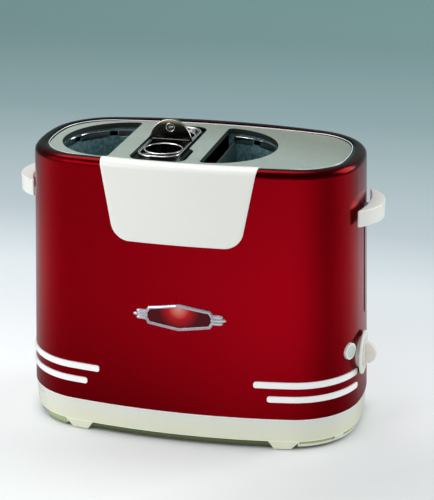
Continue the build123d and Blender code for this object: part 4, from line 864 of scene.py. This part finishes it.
class TOASTER_OT_bright_edges(bpy.types.Operator):
    """Roll the bright edges of the plate, the cage's rim and holes, its tab, and the wells' walls,
    lighter than their metal as painted highlight lines
    """

    bl_idname = "toaster.bright_edges"
    bl_label = "Bright edges"

    def execute(self, context):
        self.plate_edge()
        self.cage_wires()
        self.tab_outline()
        self.eyelet_ring()
        for node in ("left_well_wall", "right_well_wall"):
            self.wall_edge(node)
        return {"FINISHED"}

    def plate_edge(self):
        """A bead along the plate's outline, just inside the rim."""
        gap, bead, steps = 0.4 * MM, 0.3 * MM, 361
        x, y = outline_at(np.linspace(0, 2 * pi, steps), -RIM_WIDTH - gap)
        shape = tube(places(x, y, PLATE_TOP), bead)
        mesh_piece("plate_edge", shape, "plate_bead_painted_highlight", "body")

    def cage_wires(self):
        """Two loops along the top of the cage's rim, and a ring round each of its holes."""
        outer_inset, outer_drop, outer_wire = 0.5 * MM, 0.25 * MM, 0.5 * MM
        inner_inset, inner_drop, inner_wire = 1.7 * MM, 0.35 * MM, 0.3 * MM
        ring_rise, ring_wire, ring_steps = 2.4 * MM, 0.55 * MM, 97
        ring_radius = HOLE_RADIUS + 0.75 * MM
        low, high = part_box("cage_rim")
        parts = [
            tube(self.rounded_loop(outer_inset, high.z - outer_drop), outer_wire, sides=10),
            tube(self.rounded_loop(inner_inset, high.z - inner_drop), inner_wire),
        ]
        turn = np.linspace(0, 2 * pi, ring_steps)
        for side in (-1, 1):
            centre_y = CAGE_Y + side * HOLE_SPACING / 2
            x = GROUP_X + ring_radius * np.cos(turn)
            y = centre_y + ring_radius * np.sin(turn)
            parts.append(tube(places(x, y, low.z + ring_rise), ring_wire, sides=10))
        mesh_piece("cage_wires", joined(parts), "wire_steel", "cage")

    def tab_outline(self):
        """A wire round the tab's edge and one across its foot, on its front face."""
        edge_inset, edge_wire, edge_ends = 0.35 * MM, 0.3 * MM, (12, 168)
        foot_half, foot_rise, foot_wire, foot_steps = 15.0 * MM, 1.2 * MM, 0.25 * MM, 12
        base_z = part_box("cage_rim")[1].z
        front = TAB_Y - TAB_HALF_THICKNESS
        edge = self.upright_arc(base_z, TAB_RADIUS - edge_inset, front, edge_ends)
        across = GROUP_X + np.linspace(-foot_half, foot_half, foot_steps)
        foot = places(across, front, base_z + foot_rise)
        outline = joined([tube(edge, edge_wire, guide=SQUARE_TO_TAB), tube(foot, foot_wire)])
        mesh_piece("tab_outline", outline, "wire_steel", "cage")

    def eyelet_ring(self):
        """A ring round the front of the eyelet."""
        inset, sunk, wire = 0.4 * MM, 0.25 * MM, 0.35 * MM
        low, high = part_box("tab_eyelet")
        radius = (high.x - low.x) / 2 - inset
        ring = self.upright_arc((low.z + high.z) / 2, radius, low.y + sunk, (0, 360))
        shape = tube(ring, wire, guide=SQUARE_TO_TAB)
        mesh_piece("eyelet_ring", shape, "wire_steel", "cage")

    def wall_edge(self, node):
        """A bead along the top of the sheet beside a well, on the side that faces the cage."""
        bead, end_gap, steps = 0.3 * MM, 1.0 * MM, 12
        low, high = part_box(node)
        x = high.x if node.startswith("left") else low.x
        y = np.linspace(low.y + end_gap, high.y - end_gap, steps)
        shape = tube(places(x, y, high.z - bead), bead)
        mesh_piece(node + "_edge", shape, "wire_steel", "body")

    def upright_arc(self, centre_z, radius, y, ends):
        """A circle's stretch between two turns in degrees, upright across the cage."""
        steps = 80
        turn = np.radians(np.linspace(*ends, steps))
        return places(GROUP_X + radius * np.cos(turn), y, centre_z + radius * np.sin(turn))

    def rounded_loop(self, inset, z):
        """The rim's outline moved in by an inset: quarter circles round its four corners, closed. It
        starts a little past the end of a corner, so that every point belongs to one."""
        past_end, steps = 0.01, 145
        turn = np.linspace(0, 2 * pi, steps) + past_end
        side, ahead = np.cos(turn), np.sin(turn)
        across = np.sign(side) * (CAGE_HALF_WIDTH - CAGE_ROUND) + (CAGE_ROUND - inset) * side
        along = np.sign(ahead) * (CAGE_HALF_LENGTH - CAGE_ROUND) + (CAGE_ROUND - inset) * ahead
        return places(GROUP_X + across, CAGE_Y + along, z)


class TOASTER_OT_button_face(bpy.types.Operator):
    """Set the tinted disc into the stop button"""

    bl_idname = "toaster.button_face"
    bl_label = "Button face"

    def execute(self, context):
        """A low crowned disc, turned about the button's axis; its profile is radius and height."""
        profile = np.array([(5.0, -0.2), (5.0, 0.04), (4.8, 0.14), (2.5, 0.17)]) * MM
        out = np.array([cos(BUTTON_ANGLE), -sin(BUTTON_ANGLE), 0])
        corner = np.array([CORNER_X, -CORNER_Y, BUTTON_Z])
        centre = corner + (CORNER_RADIUS + grow_at(BUTTON_Z) + BUTTON_PROUD) * out
        disc = lathe(profile, centre, out, sides=48)
        mesh_piece("button_face", disc, "button_tint", "button")
        return {"FINISHED"}


class TOASTER_OT_return_spring(bpy.types.Operator):
    """Wind the return spring, which stretches as the lever goes down"""

    bl_idname = "toaster.return_spring"
    bl_label = "Return spring"

    def execute(self, context):
        """A helix between two straight legs on its axis, whose tips stop short of the first turn."""
        leg, tip_share, steps_per_turn = 5.0 * MM, 0.6, 20
        settings = context.scene.toaster_settings
        wire, turns = settings.coil_wire, settings.coil_turns
        low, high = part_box("return_spring")
        centre = (low + high) / 2
        radius = (high.x - low.x) / 2 - wire / 2
        share = np.linspace(0, 1, turns * steps_per_turn + 1)
        turn = 2 * pi * turns * share
        coil = places(
            centre.x + radius * np.cos(turn),
            centre.y + radius * np.sin(turn),
            low.z + leg + (high.z - low.z - 2 * leg) * share,
        )
        foot = places(centre.x, centre.y, [low.z, low.z + leg * tip_share])
        head = places(centre.x, centre.y, [high.z - leg * tip_share, high.z])
        shape = tube(np.concatenate([foot, coil, head]), wire / 2)
        spring = mesh_piece("spring_coil", shape, "screw_steel", crease=80)
        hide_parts("return_spring")
        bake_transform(spring)
        return {"FINISHED"}


# Stage

# The floor turns up into a wall through a quarter circle
SWEEP_FRONT = -3.0
SWEEP_FLAT_END = 1.3
SWEEP_BEND = 0.7
SWEEP_TOP = 2.6
SWEEP_HALF_WIDTH = 3.5

# The paper's colour from its near end to its far end, as shares of that distance along Y: darker at its
# near end as painted shade, palest under the object, then grey green far behind
PAPER_NEAR = -0.4
PAPER_FAR = 2.0
PAPER_SHADES = (
    (0.0, (0.78, 0.8, 0.78)), (0.1, (0.84, 0.86, 0.84)), (0.167, (0.89, 0.9, 0.9)),
    (0.25, (0.71, 0.735, 0.745)), (0.29, (0.66, 0.695, 0.71)), (0.36, (0.44, 0.5, 0.52)),
    (0.54, (0.26, 0.35, 0.36)), (0.79, (0.19, 0.305, 0.3)), (0.96, (0.165, 0.28, 0.275)),
)

# Painted shade, as how much of that colour is left: seen plainly, a painted shadow by how far a place
# lies to the front right of a start, and seen in shiny parts, painted shade by the share of a turn, from
# -X round by the front, and by the distance in metres
PAINTED_SHADOW_START = (0.08, -0.08, 0.0)
PAINTED_SHADOW_DIRECTION = (5.0, -5.0, 0.0)
PLAIN_PAINTED_SHADOW = ((0.0, 1.0), (0.25, 0.9), (0.5, 0.82), (1.0, 0.79))
MIRRORED_PAINTED_SHADE_BY_TURN = (
    (0.0, 0.68), (0.13, 0.53), (0.25, 0.86), (0.29, 1.0), (0.34, 0.9), (0.44, 0.38),
    (0.5, 0.5), (0.6, 0.9), (0.75, 1.0), (0.92, 0.76), (1.0, 0.68),
)
MIRRORED_PAINTED_SHADE_BY_DISTANCE = (
    (0.1, 0.4), (0.2, 0.55), (0.27, 0.7), (0.4, 0.88), (0.5, 1.0), (0.62, 0.95), (0.8, 0.7), (0.99, 0.9),
)

# Soft boxes: name, place, side and power, all of them aimed at one point
LAMPS = (
    ("lamp_top", (-0.45, 0.33, 1.7), 1.3, 13.5),
    ("lamp_left", (-1.6, -0.7, 0.9), 1.2, 5.2),
    ("lamp_right", (1.6, 0.9, 1.0), 1.2, 17.5),
    ("lamp_front", (-1.3, -1.6, 1.1), 1.0, 10.0),
)
LAMP_AIM = (0, 0, 0.1)

# Even fill, which shiny parts see as a dim room
FILL_COLOUR = (0.93, 0.96, 1.0)
FILL_STRENGTH = 0.7
FILL_MIRRORED = 0.15

# The photograph's view, without roll
CAMERA_PLACE = (0.334379, -1.288602, 0.606819)
CAMERA_AZIMUTH = radians(13.98)
CAMERA_ELEVATION = radians(19.48)
CAMERA_SENSOR = 36.0
CAMERA_LENS = 127.13


def facing(place, aim):
    """Matrix of a lamp or a camera at a place that looks at a point."""
    back = np.array(place) - np.array(aim)
    back /= np.linalg.norm(back)
    side = np.cross([0, 0, 1.0], back)
    side /= np.linalg.norm(side)
    up = np.cross(back, side)
    rows = [(side[k], up[k], back[k], place[k]) for k in range(3)]
    return Matrix((*rows, (0, 0, 0, 1)))


class TOASTER_OT_stage(bpy.types.Operator):
    """Set the floor that sweeps up behind, the lamps and the camera"""

    bl_idname = "toaster.stage"
    bl_label = "Stage"

    def execute(self, context):
        self.sweep(context)
        self.lamps(context)
        self.camera(context)
        context.scene.world = self.fill()
        context.scene.view_settings.view_transform = "Standard"
        return {"FINISHED"}

    def sweep(self, context):
        """A floor that turns up through a quarter circle into a wall: one profile at each side."""
        bend_steps = 24
        turn = np.linspace(0, pi / 2, bend_steps)
        back = SWEEP_FLAT_END + SWEEP_BEND
        y = np.concatenate([[SWEEP_FRONT], SWEEP_FLAT_END + SWEEP_BEND * np.sin(turn), [back]])
        z = np.concatenate([[0], SWEEP_BEND - SWEEP_BEND * np.cos(turn), [SWEEP_TOP]])
        points = places([SWEEP_HALF_WIDTH, -SWEEP_HALF_WIDTH], y[:, None], z[:, None])
        mesh = bpy.data.meshes.new("backdrop")
        mesh.from_pydata(points.reshape(-1, 3).tolist(), [], grid_faces(len(y), 2))
        mesh.polygons.foreach_set("use_smooth", np.ones(len(mesh.polygons), bool))
        floor = bpy.data.objects.new("backdrop", mesh)
        context.scene.collection.objects.link(floor)
        mesh.materials.append(self.paper())

    def paper(self):
        """Matt paper, pale near the object and grey green far behind it, darker towards its near end as
        painted shade, and a little dimmer at the front right under a painted shadow. Shiny parts see it
        dimmed by painted shade for its direction and its distance from the object instead, as a studio's
        dark sides would be."""
        finish = Finish("backdrop_paper", (0.9, 0.9, 0.9), roughness=0.9)
        finish.set("Specular IOR Level", 0.1)
        place = finish.place()
        depth = finish.nodes.new("ShaderNodeMapRange")
        depth.inputs["From Min"].default_value = PAPER_NEAR
        depth.inputs["From Max"].default_value = PAPER_FAR
        finish.link(split_place(finish.material.node_tree)["Y"], depth.inputs["Value"])
        shaded = finish.ramp(depth.outputs["Result"], PAPER_SHADES)
        # Painted shadow to the front right for plain rays; painted shade by turn and distance for shiny
        # parts
        front_right = finish.dot(finish.vector("SUBTRACT", place, PAINTED_SHADOW_START), PAINTED_SHADOW_DIRECTION)
        around = finish.nodes.new("ShaderNodeTexGradient")
        around.gradient_type = "RADIAL"
        finish.link(place, around.inputs["Vector"])
        by_turn = finish.ramp(around.outputs["Fac"], MIRRORED_PAINTED_SHADE_BY_TURN)
        distance = finish.vector("LENGTH", place, result="Value")
        by_distance = finish.ramp(distance, MIRRORED_PAINTED_SHADE_BY_DISTANCE)
        mirrored = finish.multiply(shaded, finish.multiply(by_turn, by_distance))
        mix = finish.nodes.new("ShaderNodeMix")
        mix.data_type = "RGBA"
        # Several of this node's sockets share a name, so they go by number
        share, seen_plain, seen_mirrored = mix.inputs[0], mix.inputs[6], mix.inputs[7]
        finish.link(finish.nodes.new("ShaderNodeLightPath").outputs["Is Glossy Ray"], share)
        finish.link(finish.multiply(shaded, finish.ramp(front_right, PLAIN_PAINTED_SHADOW)), seen_plain)
        finish.link(mirrored, seen_mirrored)
        finish.colour(mix.outputs[2])
        return finish.material

    def lamps(self, context):
        """Soft boxes overhead, at both sides and in front."""
        for name, place, side, power in LAMPS:
            light = bpy.data.lights.new(name, "AREA")
            light.shape = "SQUARE"
            light.size = side
            light.energy = power
            lamp = bpy.data.objects.new(name, light)
            lamp.matrix_world = facing(place, LAMP_AIM)
            context.scene.collection.objects.link(lamp)

    def fill(self):
        """A world with even light from all round, weaker as shiny parts see it."""
        world = bpy.data.worlds.new("studio")
        world.use_nodes = True
        nodes, link = world.node_tree.nodes, world.node_tree.links.new
        background = nodes["Background"].inputs
        background["Color"].default_value = (*FILL_COLOUR, 1)
        strength = nodes.new("ShaderNodeMapRange")
        strength.inputs["To Min"].default_value = FILL_STRENGTH
        strength.inputs["To Max"].default_value = FILL_MIRRORED
        link(nodes.new("ShaderNodeLightPath").outputs["Is Glossy Ray"], strength.inputs["Value"])
        link(strength.outputs["Result"], background["Strength"])
        return world

    def camera(self, context):
        """A camera at the photograph's place, looking along its azimuth and elevation."""
        place = np.array(CAMERA_PLACE)
        level = cos(CAMERA_ELEVATION)
        back = np.array([
            sin(CAMERA_AZIMUTH) * level, -cos(CAMERA_AZIMUTH) * level, sin(CAMERA_ELEVATION)
        ])
        data = bpy.data.cameras.new("camera")
        data.sensor_width = CAMERA_SENSOR
        data.lens = CAMERA_LENS
        camera = bpy.data.objects.new("camera", data)
        camera.matrix_world = facing(place, place - back)
        context.scene.collection.objects.link(camera)
        context.scene.camera = camera


# Add-on

STEPS = (
    TOASTER_OT_finishes,
    TOASTER_OT_apron,
    TOASTER_OT_badge,
    TOASTER_OT_well_bands,
    TOASTER_OT_lower_wall,
    TOASTER_OT_bright_edges,
    TOASTER_OT_button_face,
    TOASTER_OT_return_spring,
    TOASTER_OT_stage,
)


class TOASTER_PT_panel(bpy.types.Panel):
    """Lists the settings and the steps that dress the toaster"""

    bl_label = "Toaster"
    bl_space_type = "VIEW_3D"
    bl_region_type = "UI"
    bl_category = "Toaster"

    def draw(self, context):
        for name in ToasterSettings.__annotations__:
            self.layout.prop(context.scene.toaster_settings, name)
        for step in STEPS:
            self.layout.operator(step.bl_idname)


def register():
    for kind in (ToasterSettings, *STEPS, TOASTER_PT_panel):
        bpy.utils.register_class(kind)
    bpy.types.Scene.toaster_settings = bpy.props.PointerProperty(type=ToasterSettings)


def unregister():
    del bpy.types.Scene.toaster_settings
    for kind in (TOASTER_PT_panel, *reversed(STEPS), ToasterSettings):
        bpy.utils.unregister_class(kind)


def main():
    """Registers the add-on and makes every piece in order."""
    register()
    bpy.ops.toaster.finishes()
    bpy.ops.toaster.apron()
    bpy.ops.toaster.badge()
    bpy.ops.toaster.well_bands()
    bpy.ops.toaster.lower_wall()
    bpy.ops.toaster.bright_edges()
    bpy.ops.toaster.button_face()
    bpy.ops.toaster.return_spring()
    bpy.ops.toaster.stage()


if __name__ == "__main__":
    main()
